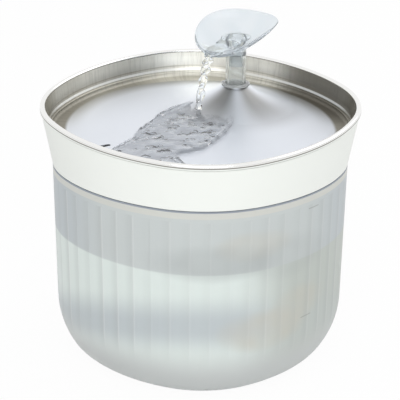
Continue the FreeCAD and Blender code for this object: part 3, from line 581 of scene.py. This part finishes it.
@dataclass(frozen=True)
class DrawnSteel(Finish):
    """Drawn stainless steel: rim with a painted highlight, wall streaked with painted reflections
    and shade, satin floor with painted reflections.
    """

    name: str = "stainless_steel_drawn"
    # Painted highlight on the rolled rim's top and outer shoulder.
    rim: Colour = linear(240, 240, 238)
    # Painted reflections and shade on the wall; the dark one also draws the painted lines on the
    # rim.
    wall_reflected_light: Colour = linear(240, 238, 228)
    wall_mid: Colour = linear(170, 167, 157)
    dark_reflection_and_shade: Colour = linear(100, 96, 87)
    # Painted highlight on the ledge.
    ledge: Colour = linear(246, 246, 242)
    lacquer: Colour = linear(231, 234, 230)
    floor: Colour = linear(232, 236, 243)
    floor_shadow: Colour = linear(146, 145, 138)
    flare_shadow: Colour = linear(128, 127, 124)
    tilt: float = 4.0
    middle: float = 178.0 * MM
    gain: float = 2.5 * MM
    hem_depth: float = 0.9 * MM
    hem_line: float = 1.35 * MM
    hem_middle: float = 104.4 * MM
    hem_shoulder: float = 1.4 * MM
    seam_depth: float = 2.3 * MM
    groove_depth: float = 11.6 * MM
    ledge_line: float = 14.0 * MM
    ledge_depth: float = 14.8 * MM
    floor_depth: float = 17.2 * MM
    wall_foot: tuple[float, float] = (90.0 * MM, 93.0 * MM)
    floor_edge: tuple[float, float] = (88.0 * MM, 92.0 * MM)
    mirror_zone: tuple[float, float] = (78.0 * MM, 95.0 * MM)
    bright_side: float = 78.0
    dark_side: float = 28.0
    neck: tuple[float, float] = (27.5 * MM, 46.5 * MM)
    flare_reach: tuple[float, float] = (62.0 * MM, 16.0 * MM)
    lobe_inside: float = 30.0
    lobe_outside: tuple[float, float] = (92.0, 44.0)
    rim_rough: float = 0.12
    wall_rough: float = 0.26
    floor_rough: float = 0.42
    grain_scale: float = 1500.0
    grain_depth: float = 0.03 * MM

    def wall(self, graph: Graph, angle: Value, depth: Value, fine: Value) -> Value:
        """Colour of the wall: painted broad soft reflections, fine upright streaks that are partly
        grain and partly painted reflection, painted shade lower down and in the groove, and a
        painted highlight on the ledge.

        Args:
            graph: Graph of the material.
            angle: Direction of the point round the tray.
            depth: Depth of the point below the rim.
            fine: Fine streaks.

        Returns:
            The wall's colour.
        """
        # Painted reflections: bright on the back wall, dark towards the right back; painted shade
        # lower down and in the groove.
        broad = graph.noise(graph.vector(angle * 1.3, depth * 14.0, 0.3), 1.1, 1.0, 0.4)
        back = graph.maths("COSINE", angle - math.radians(self.bright_side)).step(0.72, 0.98)
        side = graph.maths("COSINE", angle - math.radians(self.dark_side)).step(0.86, 0.99)
        groove = (depth - self.groove_depth).absolute().step(0.7 * MM, 0.2 * MM)
        bright = back * 0.9 + broad.step(0.35, 0.7) * 0.35
        colour = graph.blend(bright, self.wall_mid, self.wall_reflected_light)
        for mask in (side * 0.8, depth.step(5.0 * MM, 12.5 * MM) * 0.3,
                     fine.step(0.46, 0.72) * 0.2, groove * 0.35):
            colour = graph.blend(mask, colour, self.dark_reflection_and_shade)
        # Painted highlight on the ledge.
        lit = (depth - self.ledge_line).absolute().step(1.1 * MM, 0.5 * MM)
        return graph.blend(lit * 0.65, colour, self.ledge)

    def bottom(self, graph: Graph, spot: Spot, angle: Value, radius: Value) -> Value:
        """Colour of the floor: the wall's painted soft reflection and two lobes of painted shade on
        the trumpet's flanks.

        Args:
            graph: Graph of the material.
            spot: Point that is shaded.
            angle: Direction of the point round the tray.
            radius: Distance of the point from the middle.

        Returns:
            The floor's colour.
        """
        cloud = graph.noise(spot.vector, 16.0, 2.0)
        # Painted reflection of the dark wall on the floor near the back.
        behind = graph.maths("SINE", angle).step(-0.05, 0.5)
        mirror = radius.step(*self.mirror_zone) * behind
        colour = graph.blend(mirror * 0.85, self.floor, self.floor_shadow)
        colour = graph.blend(cloud * 0.12, colour, self.floor_shadow)
        # Two lobes of painted shade on the trumpet's flanks.
        across, along = spot.x - self.neck[0], spot.y - self.neck[1]
        reach = graph.maths("SQRT", across * across + along * along)
        swing = graph.maths("ARCTAN2", across, 0 - along).absolute()
        start, end = (math.radians(side) for side in self.lobe_outside)
        lobes = (swing.step(0.0, math.radians(self.lobe_inside)) * 0.62 + 0.3) \
            * swing.step(start, end)
        return graph.blend(lobes * reach.step(*self.flare_reach) * 0.95, colour, self.flare_shadow)

    def hem(self, graph: Graph, colour: Value, depth: Value, outside: Value,
            tucked: Value) -> Value:
        """Colour of the rolled rim over that of the wall: a painted highlight on its top and outer
        shoulder, a painted dark reflection line across the roll, and a painted shadow line at its
        seam with the collar.

        Args:
            graph: Graph of the material.
            colour: Colour of the wall and floor.
            depth: Depth of the point below the rim.
            outside: Mask of the rim's outside.
            tucked: Mask of its white lower edge.

        Returns:
            The tray's colour.
        """
        # Painted dark reflection line across the roll, then painted highlight on its top and
        # shoulder.
        line = (depth - self.hem_line).absolute().step(0.45 * MM, 0.2 * MM)
        colour = graph.blend(line * 0.55, colour, self.dark_reflection_and_shade)
        colour = graph.blend(depth.step(self.hem_depth, self.hem_depth + 0.4 * MM), self.rim,
                             colour)
        shoulder = outside * depth.step(self.hem_depth, self.hem_shoulder)
        colour = graph.blend(shoulder, colour, self.rim)
        colour = graph.blend(tucked, colour, self.lacquer)
        # Painted shadow line where the hem meets the collar.
        seam_shadow = outside * (depth - self.seam_depth).absolute().step(0.5 * MM, 0.3 * MM)
        return graph.blend(seam_shadow * 0.8, colour, self.dark_reflection_and_shade)

    def shade(self, graph: Graph) -> Value:
        """Zones told apart by the depth below the tilted rim."""
        spot = graph.spot()
        lean = math.radians(self.tilt)
        depth = spot.y * math.sin(lean) - (spot.z - self.middle) * math.cos(lean)
        angle = graph.maths("ARCTAN2", spot.y, spot.x)
        radius = graph.maths("SQRT", spot.x * spot.x + spot.y * spot.y)
        on_wall = depth.step(self.hem_depth, self.hem_depth + MM) * radius.step(*self.wall_foot)
        on_floor = depth.step(self.ledge_depth, self.floor_depth)
        plan = radius - graph.maths("COSINE", angle * 4) * self.gain
        outside = plan.step(self.hem_middle, self.hem_middle + 0.6 * MM)
        tucked = outside * depth.step(self.seam_depth, self.seam_depth + 0.2 * MM)
        fine = graph.noise(graph.vector(angle * 30.0, depth * 25.0, 0.7), 2.0, 3.0, 0.6)
        inner = graph.blend(on_wall, self.bottom(graph, spot, angle, radius),
                            self.wall(graph, angle, depth, fine))
        grain = graph.noise(spot.vector, self.grain_scale, 2.0)
        satin = on_floor + (1 - radius.step(*self.floor_edge)) * (1 - on_floor)
        rough = on_wall * (self.wall_rough - self.rim_rough) + self.rim_rough \
            + satin * (self.floor_rough - self.rim_rough) + grain * 0.05
        return graph.surface({
            "Base Color": self.hem(graph, inner, depth, outside, tucked),
            "Metallic": 1 - tucked,
            "Roughness": rough,
            "Normal": graph.bump(grain * satin + fine * 0.5 * on_wall, self.grain_depth)})


@dataclass(frozen=True)
class ClearWater(Finish):
    """Clear moving water."""

    name: str = "flowing_water"
    colour: Colour = (0.97, 0.985, 0.99)
    ripple_scale: float = 160.0
    ripple: float = 0.0009
    index: float = 1.33

    def shade(self, graph: Graph) -> Value:
        """Clear body under a rippled surface."""
        spot = graph.spot()
        wave = graph.noise(spot.vector, self.ripple_scale, 3.0, 0.5, 1.0)
        return graph.surface({
            "Base Color": self.colour + (1.0,),
            "Roughness": 0.0,
            "IOR": self.index,
            "Transmission Weight": 1.0,
            "Normal": graph.bump(wave, self.ripple)})


@dataclass(frozen=True)
class SoftRubber(Finish):
    """Matt rubber or silicone."""

    name: str = "matt_rubber"
    colour: Colour = linear(196, 198, 196)
    roughness: float = 0.75

    def shade(self, graph: Graph) -> Value:
        """Dull, slightly mottled surface."""
        spot = graph.spot()
        mottle = graph.noise(spot.vector, 400.0, 3.0)
        return graph.surface({
            "Base Color": graph.blend(mottle, self.colour, darker(self.colour, 0.86)),
            "Roughness": mottle * 0.15 + (self.roughness - 0.07),
            "Normal": graph.bump(mottle, 0.00008)})


@dataclass(frozen=True)
class OpenFoam(Finish):
    """Open-celled foam or pressed filter media."""

    name: str = "open_foam"
    colour: Colour = linear(62, 66, 70)
    cell_scale: float = 700.0
    cell_depth: float = 0.0006

    def shade(self, graph: Graph) -> Value:
        """Cells as pits with painted shade in them."""
        spot = graph.spot()
        inputs = {"Vector": spot.vector, "Scale": self.cell_scale}
        cells = graph.out(graph.node("ShaderNodeTexVoronoi", None, inputs))
        return graph.surface({
            "Base Color": graph.blend(cells, darker(self.colour, 0.4), self.colour),
            "Roughness": 0.95,
            "Normal": graph.bump(cells, self.cell_depth)})


@dataclass(frozen=True)
class HardGlaze(Finish):
    """Dense ceramic or magnet with a ground surface."""

    name: str = "ground_ceramic"
    colour: Colour = linear(236, 232, 222)
    roughness: float = 0.25
    metal: float = 0.0

    def shade(self, graph: Graph) -> Value:
        """Fine grinding marks."""
        spot = graph.spot()
        marks = graph.noise(spot.vector, 3000.0, 2.0)
        return graph.surface({
            "Base Color": graph.blend(marks, self.colour, darker(self.colour, 0.9)),
            "Metallic": self.metal,
            "Roughness": marks * 0.1 + self.roughness,
            "Normal": graph.bump(marks, 0.00001)})


# Modelling

class Bench:
    """Operator steps on one new mesh."""

    def __init__(self, name: str) -> None:
        """Start an empty mesh and open it for editing.

        Args:
            name: Name of the new piece.
        """
        if bpy.context.object and bpy.context.object.mode != "OBJECT":
            bpy.ops.object.mode_set(mode="OBJECT")
        bpy.ops.object.select_all(action="DESELECT")
        bpy.ops.mesh.primitive_plane_add(size=MM)
        self.piece = bpy.context.object
        self.piece.name = name
        self.piece.data.name = name
        bpy.ops.object.mode_set(mode="EDIT")
        bpy.ops.mesh.select_mode(type="VERT")
        bpy.ops.mesh.select_all(action="SELECT")
        bpy.ops.mesh.delete(type="VERT")

    def blob(self, centre: Place, radii: Place, turn: float = 0.0, fine: int = 3) -> None:
        """Add a rounded drop.

        Args:
            centre: Middle of the drop.
            radii: Half sizes along X, Y and Z before the turn.
            turn: Turn round Z in degrees.
            fine: Subdivisions of the drop.
        """
        bpy.ops.mesh.select_all(action="DESELECT")
        bpy.ops.mesh.primitive_ico_sphere_add(subdivisions=fine, radius=1.0, location=centre,
                                              rotation=(0.0, 0.0, math.radians(turn)),
                                              scale=radii)

    def strand(self, path: Sequence[Place], radii: Sequence[float], sides: int = 12) -> None:
        """Add a round strand along a falling path.

        Args:
            path: Middles of its sections.
            radii: Radius at each section.
            sides: Corners of a section.
        """
        bpy.ops.mesh.select_all(action="DESELECT")
        bpy.ops.mesh.primitive_circle_add(vertices=sides, radius=radii[0], fill_type="NGON",
                                          location=path[0])
        for index in range(1, len(path)):
            move = Vector(path[index]) - Vector(path[index - 1])
            bpy.ops.mesh.extrude_region_move(TRANSFORM_OT_translate={"value": move})
            ratio = radii[index] / radii[index - 1]
            bpy.ops.transform.resize(value=(ratio, ratio, 1.0), center_override=path[index])

    def plate(self, outline: Sequence[Place], thickness: float) -> None:
        """Add a plate inside an outline.

        Args:
            outline: Corners in order.
            thickness: How far the plate is raised.
        """
        self.section(outline)
        bpy.ops.mesh.edge_face_add()
        bpy.ops.mesh.extrude_region_move(TRANSFORM_OT_translate={"value": (0, 0, thickness)})

    def section(self, points: Sequence[Place]) -> None:
        """Add an open section from point to point, and leave it selected.

        Args:
            points: Its points in order.
        """
        bpy.ops.mesh.select_all(action="DESELECT")
        bpy.ops.mesh.primitive_plane_add(size=MM, location=points[0])
        bpy.ops.mesh.merge(type="CENTER")
        for first, second in zip(points, points[1:]):
            move = Vector(second) - Vector(first)
            bpy.ops.mesh.extrude_vertices_move(TRANSFORM_OT_translate={"value": move})
        bpy.ops.mesh.select_linked()

    def apply(self, kind: str, settings: dict) -> None:
        """Apply a modifier to the piece.

        Args:
            kind: Modifier type.
            settings: Its properties.
        """
        bpy.ops.object.mode_set(mode="OBJECT")
        modifier = self.piece.modifiers.new(kind.lower(), kind)
        for key, setting in settings.items():
            setattr(modifier, key, setting)
        bpy.ops.object.modifier_apply(modifier=modifier.name)

    def melt(self, voxel: float, rounds: int) -> None:
        """Join all drops and strands into one skin and smooth it.

        Args:
            voxel: Grain of the joined skin.
            rounds: Smoothing rounds.
        """
        bpy.ops.mesh.select_all(action="SELECT")
        bpy.ops.mesh.normals_make_consistent(inside=False)
        self.apply("REMESH", {"mode": "VOXEL", "voxel_size": voxel})
        self.apply("SMOOTH", {"factor": 0.5, "iterations": rounds})

    def ripple(self, size: float, strength: float, contrast: float = 1.0) -> None:
        """Push the skin in and out by a cloud pattern.

        Args:
            size: Size of the ripples.
            strength: Height of the ripples.
            contrast: Contrast of the pattern.
        """
        texture = bpy.data.textures.new("ripple", "CLOUDS")
        texture.noise_scale = size
        texture.noise_depth = 1
        texture.contrast = contrast
        self.apply("DISPLACE", {"texture": texture, "texture_coords": "GLOBAL",
                                "strength": strength, "mid_level": 0.5})

    def done(self, finish: Finish, body: Ride, smooth: float = 60.0) -> bpy.types.Object:
        """Close the work on the piece: shading, finish, and the body that it rides on.

        Args:
            finish: Surface finish.
            body: Body that carries the piece.
            smooth: Edges flatter than this many degrees are smooth.

        Returns:
            The finished piece.
        """
        bpy.ops.object.mode_set(mode="OBJECT")
        bpy.ops.object.select_all(action="DESELECT")
        self.piece.select_set(True)
        bpy.context.view_layer.objects.active = self.piece
        bpy.ops.object.transform_apply(location=True, rotation=True, scale=True)
        bpy.ops.object.shade_smooth_by_angle(angle=math.radians(smooth))
        self.piece.data.materials.clear()
        self.piece.data.materials.append(finish.material())
        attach(self.piece, body.value)
        LOG.info("%s: %d faces, rides on %s", self.piece.name, len(self.piece.data.polygons),
                 body.value)
        return self.piece


def dress(finish: Finish, *nodes: str) -> None:
    """Give CAD nodes a finish.

    Args:
        finish: Surface finish.
        *nodes: Names of the nodes.
    """
    for name in nodes:
        for slot in frame["nodes"][name].material_slots:
            slot.material = finish.material()
        LOG.info("%s: %s", name, finish.name)


@dataclass(frozen=True)
class Outline:
    """Rounded square of eight tangent arcs, its corners on the X and Y axes."""

    radius: float
    gain: float
    square: float
    step: float = 3.0

    @staticmethod
    def polar(angle: float, distance: float) -> Vector:
        """Point in plan at an angle and a distance."""
        return Vector((math.cos(math.radians(angle)), math.sin(math.radians(angle)), 0)) * distance

    def arcs(self) -> list[tuple[Vector, float, float, float]]:
        """Arcs of the outline.

        Returns:
            Centre, radius, start angle and end angle of each arc, in order.
        """
        corner = self.radius - self.square
        spread = self.radius + self.gain - corner
        rest = self.radius - self.gain - corner
        back = (spread ** 2 - rest ** 2) / (2 * rest - math.sqrt(2) * spread)
        turn = math.degrees(math.atan2(back, math.sqrt(2) * spread + back))
        arcs = []
        for start in (0.0, 90.0, 180.0, 270.0):
            arcs.append((self.polar(start, spread), corner, start - turn, start + turn))
            away = self.polar(start + 45.0, -back)
            arcs.append((away, self.radius - self.gain + back, start + turn, start + 90.0 - turn))
        return arcs

    def sweep(self, bench: Bench, profile: Sequence[tuple[float, float]]) -> None:
        """Carry a profile of insets and heights round the outline.

        Args:
            bench: Work in hand.
            profile: Insets from the outline and heights, in order.
        """
        arcs = self.arcs()
        centre, radius, start, _ = arcs[0]
        bench.section([centre + self.polar(start, radius - inset) + UP * height
                       for inset, height in profile])
        for centre, radius, start, end in arcs:
            bpy.ops.mesh.spin(steps=max(2, round((end - start) / self.step)),
                              angle=-math.radians(end - start), center=centre, axis=UP)
        bpy.ops.mesh.select_all(action="SELECT")
        bpy.ops.mesh.remove_doubles(threshold=0.002 * MM)


# Sub-assemblies

class Assembly:
    """A sub-assembly: its new meshes, where it has any, and the finishes of its CAD nodes."""

    def build(self) -> None:
        """Model the new pieces; there are none unless a sub-assembly adds them."""

    def dress(self) -> None:
        """Give the CAD nodes their finishes."""
        raise NotImplementedError


@dataclass
class Bowl(Assembly):
    """Frosted bowl on its pads, with the standing water inside."""

    radius: float = 99.0 * MM
    gain: float = 1.8 * MM
    square: float = 20.0 * MM
    water_level: float = 93.5 * MM
    foot: float = 4.0 * MM
    skin: tuple[tuple[float, float], ...] = (
        (4.5, 40.1), (4.8, 35.0), (5.5, 30.1), (6.7, 25.3), (8.3, 20.6), (10.2, 16.1),
        (12.6, 11.6), (14.7, 8.6), (16.3, 7.0), (18.2, 5.7), (20.3, 4.8), (22.5, 4.2))
    top_inset: float = 3.7 * MM
    flat_inset: float = 26.0 * MM

    def profile(self) -> list[tuple[float, float]]:
        """Insets and heights of the water's skin from the level down to the foot."""
        wall = [(inset * MM, height * MM) for inset, height in self.skin]
        return [(self.top_inset, self.water_level), *wall, (self.flat_inset, self.foot)]

    def build(self) -> None:
        """Model the standing water."""
        bench = Bench("bowl_water")
        Outline(self.radius, self.gain, self.square, 6.0).sweep(bench, self.profile())
        for level in (self.water_level, self.foot):
            bpy.ops.mesh.select_all(action="DESELECT")
            bpy.ops.object.mode_set(mode="OBJECT")
            for vertex in bench.piece.data.vertices:
                vertex.select = abs(vertex.co.z - level) < 0.01 * MM
            bpy.ops.object.mode_set(mode="EDIT")
            bpy.ops.mesh.edge_face_add()
        bpy.ops.mesh.select_all(action="SELECT")
        bpy.ops.mesh.normals_make_consistent(inside=False)
        still = ClearWater("standing_water", (0.93, 0.985, 0.97), 25.0, 0.0006)
        bench.done(still, Ride.BOWL, 30.0)

    def dress(self) -> None:
        """Give the bowl its finish, and the rubber parts in and under it theirs."""
        dress(FrostedPlastic(water_level=self.water_level), "tank")
        dress(SoftRubber(), "ground_pads", "suction_cups", "cable_gland", "shaft_bushes")


@dataclass
class Collar(Assembly):
    """White wedge ring with the filter that hangs in it."""

    grain: float = 0.03 * MM

    def dress(self) -> None:
        """Give the collar and the filter their finishes."""
        white = MouldedPlastic(grain=self.grain)
        dress(white, "collar", "filter_carrier", "filter_lid")
        dress(SoftRubber(), "cable_notch_plug")
        dress(OpenFoam("filter_media_black", linear(72, 74, 74), 900.0, 0.0004), "filter_pad")


@dataclass
class Tray(Assembly):
    """Steel drinking tray with the puddle that the stream makes on its floor."""

    tilt: float = 4.0
    rim_height: float = 178.0 * MM
    floor_depth: float = 18.7 * MM
    puddle: tuple[tuple[float, float], ...] = (
        (-5.8, 41.5), (4.9, 43.0), (15.1, 36.8), (21.2, 25.1), (21.9, 8.4), (15.6, -9.3),
        (6.9, -24.7), (-0.4, -34.6), (-9.5, -40.9), (-16.8, -42.3), (-21.0, -48.1),
        (-18.0, -58.0), (-12.0, -72.0), (-28.0, -80.0), (-52.0, -70.0), (-66.0, -52.0),
        (-58.7, -37.2), (-52.0, -29.0), (-45.0, -19.0), (-41.3, -7.0), (-34.0, 7.1),
        (-25.1, 23.3), (-15.4, 34.2))
    puddle_height: float = 1.5 * MM
    # Grey tint that darkens the clear puddle: painted shade.
    puddle_shade_tint: Colour = (0.83, 0.84, 0.85)
    bead: float = 2.1 * MM
    bead_pitch: float = 2.6 * MM
    landing: Place = (-0.3 * MM, 17.6 * MM, 160.6 * MM)
    stream_foot: Place = (-0.5 * MM, 18.2 * MM, 167.3 * MM)
    splash_radii: tuple[float, ...] = (3.0 * MM, 2.1 * MM, 1.7 * MM, 1.5 * MM, 1.4 * MM)
    rings: tuple[tuple[float, int], ...] = ((5.2 * MM, 14), (9.5 * MM, 24))
    ring_bead: Place = (1.5 * MM, 1.5 * MM, 1.2 * MM)

    def floor_at(self, y: float) -> float:
        """Height of the tray's floor at a distance behind the middle."""
        lean = math.radians(self.tilt)
        return self.rim_height + y * math.tan(lean) - self.floor_depth / math.cos(lean)

    def meniscus(self, bench: Bench) -> None:
        """Add the raised edge of the puddle as a row of beads.

        Args:
            bench: Work in hand.
        """
        for first, second in zip(self.puddle, self.puddle[1:] + self.puddle[:1]):
            start, end = Vector(first) * MM, Vector(second) * MM
            beads = max(2, round((end - start).length / self.bead_pitch))
            for index in range(beads):
                spot = start.lerp(end, index / beads)
                place = (spot.x, spot.y, self.floor_at(spot.y) + self.bead / 2)
                bench.blob(place, (self.bead, self.bead, self.bead), 0.0, 1)

    def splash(self, bench: Bench) -> None:
        """Add the rings and the short column of water where the stream lands.

        Args:
            bench: Work in hand.
        """
        x, y, z = self.landing
        for radius, beads in self.rings:
            for index in range(beads):
                edge = Outline.polar(360.0 * index / beads, radius)
                place = (x + edge.x, y + edge.y * 0.9, z + self.puddle_height * 0.5)
                bench.blob(place, self.ring_bead, 0.0, 2)
        foot, top = Vector(self.landing), Vector(self.stream_foot)
        last = len(self.splash_radii) - 1
        bench.strand([tuple(foot.lerp(top, index / last)) for index in range(last + 1)],
                     self.splash_radii)

    def build(self) -> None:
        """Model the puddle."""
        bench = Bench("tray_puddle")
        bench.plate([(x * MM, y * MM, self.floor_at(y * MM)) for x, y in self.puddle],
                    self.puddle_height)
        self.meniscus(bench)
        self.splash(bench)
        bench.melt(0.6 * MM, 3)
        bench.ripple(8.0 * MM, 1.3 * MM)
        bench.ripple(3.5 * MM, 0.7 * MM, 1.2)
        bench.done(ClearWater(colour=self.puddle_shade_tint, ripple=0.5 * MM), Ride.TRAY)

    def dress(self) -> None:
        """Give the tray and its grommet their finishes."""
        dress(DrawnSteel(tilt=self.tilt, middle=self.rim_height), "tray")
        dress(ClearPlastic("clear_soft_plastic", linear(226, 230, 231), 0.06, 1.25, 0.65),
              "tray_grommet")


@dataclass(frozen=True)
class Drop:
    """One rounded drop of the water in the leaf, in millimetres and degrees."""

    centre: Place
    radii: Place
    turn: float


@dataclass
class Spout(Assembly):
    """Clear tube and leaf with the water that runs off the leaf."""

    lip: Place = (8.1 * MM, 30.5 * MM, 201.5 * MM)
    landing: Place = (-0.5 * MM, 18.2 * MM, 166.8 * MM)
    strands: int = 2
    twist: float = 2.4
    twist_radius: float = 1.7 * MM
    strand_radius: float = 2.1 * MM
    sections: int = 40
    early_drop: float = 0.35
    swing: tuple[float, float] = (1.15, 0.35)
    swing_depth: float = 0.7
    taper: float = 0.25
    pulse: float = 0.14
    pulses: float = 5.3
    drops: tuple[Drop, ...] = (
        Drop((27.5, 46.5, 210.0), (10.5, 8.0, 2.6), 0.0),
        Drop((22.0, 42.5, 207.3), (10.0, 7.5, 2.4), 30.0),
        Drop((16.5, 38.0, 204.6), (10.0, 8.0, 2.2), 35.0),
        Drop((11.5, 34.0, 203.0), (7.5, 7.0, 1.9), 40.0),
        Drop((8.6, 31.2, 202.1), (4.6, 4.6, 1.7), 40.0))

    def middle_at(self, share: float) -> Vector:
        """Middle of the stream at a share of its fall.

        Args:
            share: 0 at the lip and 1 at the foot.

        Returns:
            The place.
        """
        start, end = Vector(self.lip), Vector(self.landing)
        drop = self.early_drop * share + (1 - self.early_drop) * share ** 2
        along = start.lerp(end, share)
        return Vector((along.x, along.y, start.z + (end.z - start.z) * drop))

    def stream(self) -> None:
        """Model the falling stream as strands twisted round each other."""
        bench = Bench("water_stream")
        for strand in range(self.strands):
            path, radii = [], []
            for index in range(self.sections + 1):
                share = index / self.sections
                turn = math.tau * (self.twist * share + strand / self.strands)
                swing = self.twist_radius * (self.swing[0] - self.swing[1] * share)
                offset = Vector((math.cos(turn), math.sin(turn) * self.swing_depth, 0)) * swing
                path.append(self.middle_at(share) + offset)
                pulse = self.pulse * math.sin(self.pulses * math.tau * share + 2.0 * strand)
                radii.append(self.strand_radius * (1.0 - self.taper * share + pulse))
            bench.strand(path, radii)
        bench.melt(0.45 * MM, 4)
        bench.done(ClearWater("falling_water", ripple=0.4 * MM), Ride.LEAF)

    def pool(self) -> None:
        """Model the water that swirls from the outlet to the leaf's lip."""
        bench = Bench("leaf_water")
        for drop in self.drops:
            bench.blob(tuple(c * MM for c in drop.centre), tuple(r * MM for r in drop.radii),
                       drop.turn)
        bench.melt(0.6 * MM, 6)
        bench.ripple(5.0 * MM, 1.6 * MM)
        bench.done(ClearWater("swirling_water", ripple=0.6 * MM, index=1.16), Ride.LEAF)

    def build(self) -> None:
        """Model the stream and the water in the leaf."""
        self.stream()
        self.pool()

    def dress(self) -> None:
        """Give the tube, the riser and the leaf their finishes."""
        dress(ClearPlastic(colour=linear(238, 241, 240), index=1.22, clear=0.86),
              "spout_tube", "riser_tube")
        milky = ClearPlastic("milky_clear_plastic", linear(228, 235, 240), 0.04, 1.22, 0.78)
        dress(milky, "spout_leaf")


@dataclass
class Pump(Assembly):
    """Submersible pump with its rotor, intake cap and foam."""

    housing_roughness: float = 0.35

    def dress(self) -> None:
        """Give the pump's parts their finishes."""
        cream = MouldedPlastic("pump_cream_plastic", linear(232, 226, 210), linear(222, 216, 200),
                               self.housing_roughness)
        dress(cream, "pump_housing", "pump_volute", "intake_cap", "flow_slider", "impeller")
        dress(OpenFoam(), "foam_prefilter")
        dress(HardGlaze("sintered_magnet", linear(58, 58, 62), 0.35, 0.6), "rotor_magnet")
        dress(HardGlaze(), "rotor_shaft")


# Studio

@dataclass(frozen=True)
class Lamp:
    """Square soft lamp: where it hangs in metres, its side and its power in watts."""

    name: str
    place: Place
    size: float
    power: float


@dataclass
class Studio:
    """Pale floor, soft lamps, white surround and the camera."""

    rim_middle: Place = (0.0, 0.0, 178.0 * MM)
    distance: float = 1.039
    azimuth: float = -4.0
    depression: float = 17.3
    aim_depression: float = 20.97
    roll: float = 0.6
    lens: float = 138.13
    floor_size: float = 8.0
    floor_white: float = 0.95
    floor_lit: Colour = (0.85, 0.85, 0.85)
    lamps: tuple[Lamp, ...] = (Lamp("key_lamp", (-0.15, -1.7, 1.1), 1.6, 16.5),
                               Lamp("fill_lamp", (1.2, 0.6, 1.3), 1.2, 5.5))
    lamp_aim: Place = (0.0, 0.0, 0.1)
    world_level: float = 0.8

    def floor(self) -> None:
        """Wide plane under the fountain that shows white and keeps the shadow."""
        bpy.ops.object.select_all(action="DESELECT")
        bpy.ops.mesh.primitive_plane_add(size=self.floor_size)
        plane = bpy.context.object
        plane.name = "studio_floor"
        made = bpy.data.materials.new("studio_floor_white")
        made.use_nodes = True
        graph = Graph(made.node_tree)
        lit = graph.surface({"Base Color": (*self.floor_lit, 1.0), "Roughness": 0.9})
        white = graph.out(graph.node("ShaderNodeEmission", None, {"Strength": 1.0}))
        graph.finish(graph.mixed(graph.seen() * self.floor_white, lit, white))
        plane.data.materials.append(made)

    def world(self) -> None:
        """Even pale surround, white where it is seen."""
        world = bpy.data.worlds.new("studio_surround")
        world.use_nodes = True
        bpy.context.scene.world = world
        graph = Graph(world.node_tree)
        level = graph.seen() * (1.0 - self.world_level) + self.world_level
        white = {"Color": (*WHITE, 1.0), "Strength": level}
        graph.finish(graph.out(graph.node("ShaderNodeBackground", None, white)),
                     "ShaderNodeOutputWorld")

    def lamp(self, lamp: Lamp) -> None:
        """Hang a lamp that looks at the fountain.

        Args:
            lamp: The lamp.
        """
        data = bpy.data.lights.new(lamp.name, "AREA")
        data.size = lamp.size
        data.energy = lamp.power
        hung = bpy.data.objects.new(lamp.name, data)
        hung.location = lamp.place
        aim = Vector(self.lamp_aim) - Vector(lamp.place)
        hung.rotation_euler = aim.to_track_quat("-Z", "Y").to_euler()
        bpy.context.collection.objects.link(hung)

    def camera(self) -> None:
        """Camera at the photograph's place, lens and aim."""
        data = bpy.data.cameras.new("camera")
        data.lens = self.lens
        data.sensor_width = 36.0
        camera = bpy.data.objects.new("camera", data)
        turn, dip = math.radians(self.azimuth), math.radians(self.depression)
        back = Vector((math.sin(turn) * math.cos(dip), -math.cos(turn) * math.cos(dip),
                       math.sin(dip)))
        camera.location = Vector(self.rim_middle) + back * self.distance
        aim = math.radians(90.0 - self.aim_depression)
        camera.rotation_euler = (aim, 0.0, turn)
        camera.rotation_euler.rotate_axis("Z", math.radians(self.roll))
        bpy.context.collection.objects.link(camera)
        bpy.context.scene.camera = camera

    def build(self) -> None:
        """Set up the whole studio."""
        scene = bpy.context.scene
        scene.view_settings.view_transform = "Standard"
        self.floor()
        self.world()
        for lamp in self.lamps:
            self.lamp(lamp)
        self.camera()


def main() -> None:
    """Build the studio and every sub-assembly in order."""
    logging.basicConfig(level=logging.INFO, format="%(name)s: %(message)s")
    Studio().build()
    for assembly in (Bowl(), Collar(), Tray(), Spout(), Pump()):
        assembly.build()
        assembly.dress()
        LOG.info("%s is done", type(assembly).__name__)


if __name__ == "__main__":
    main()
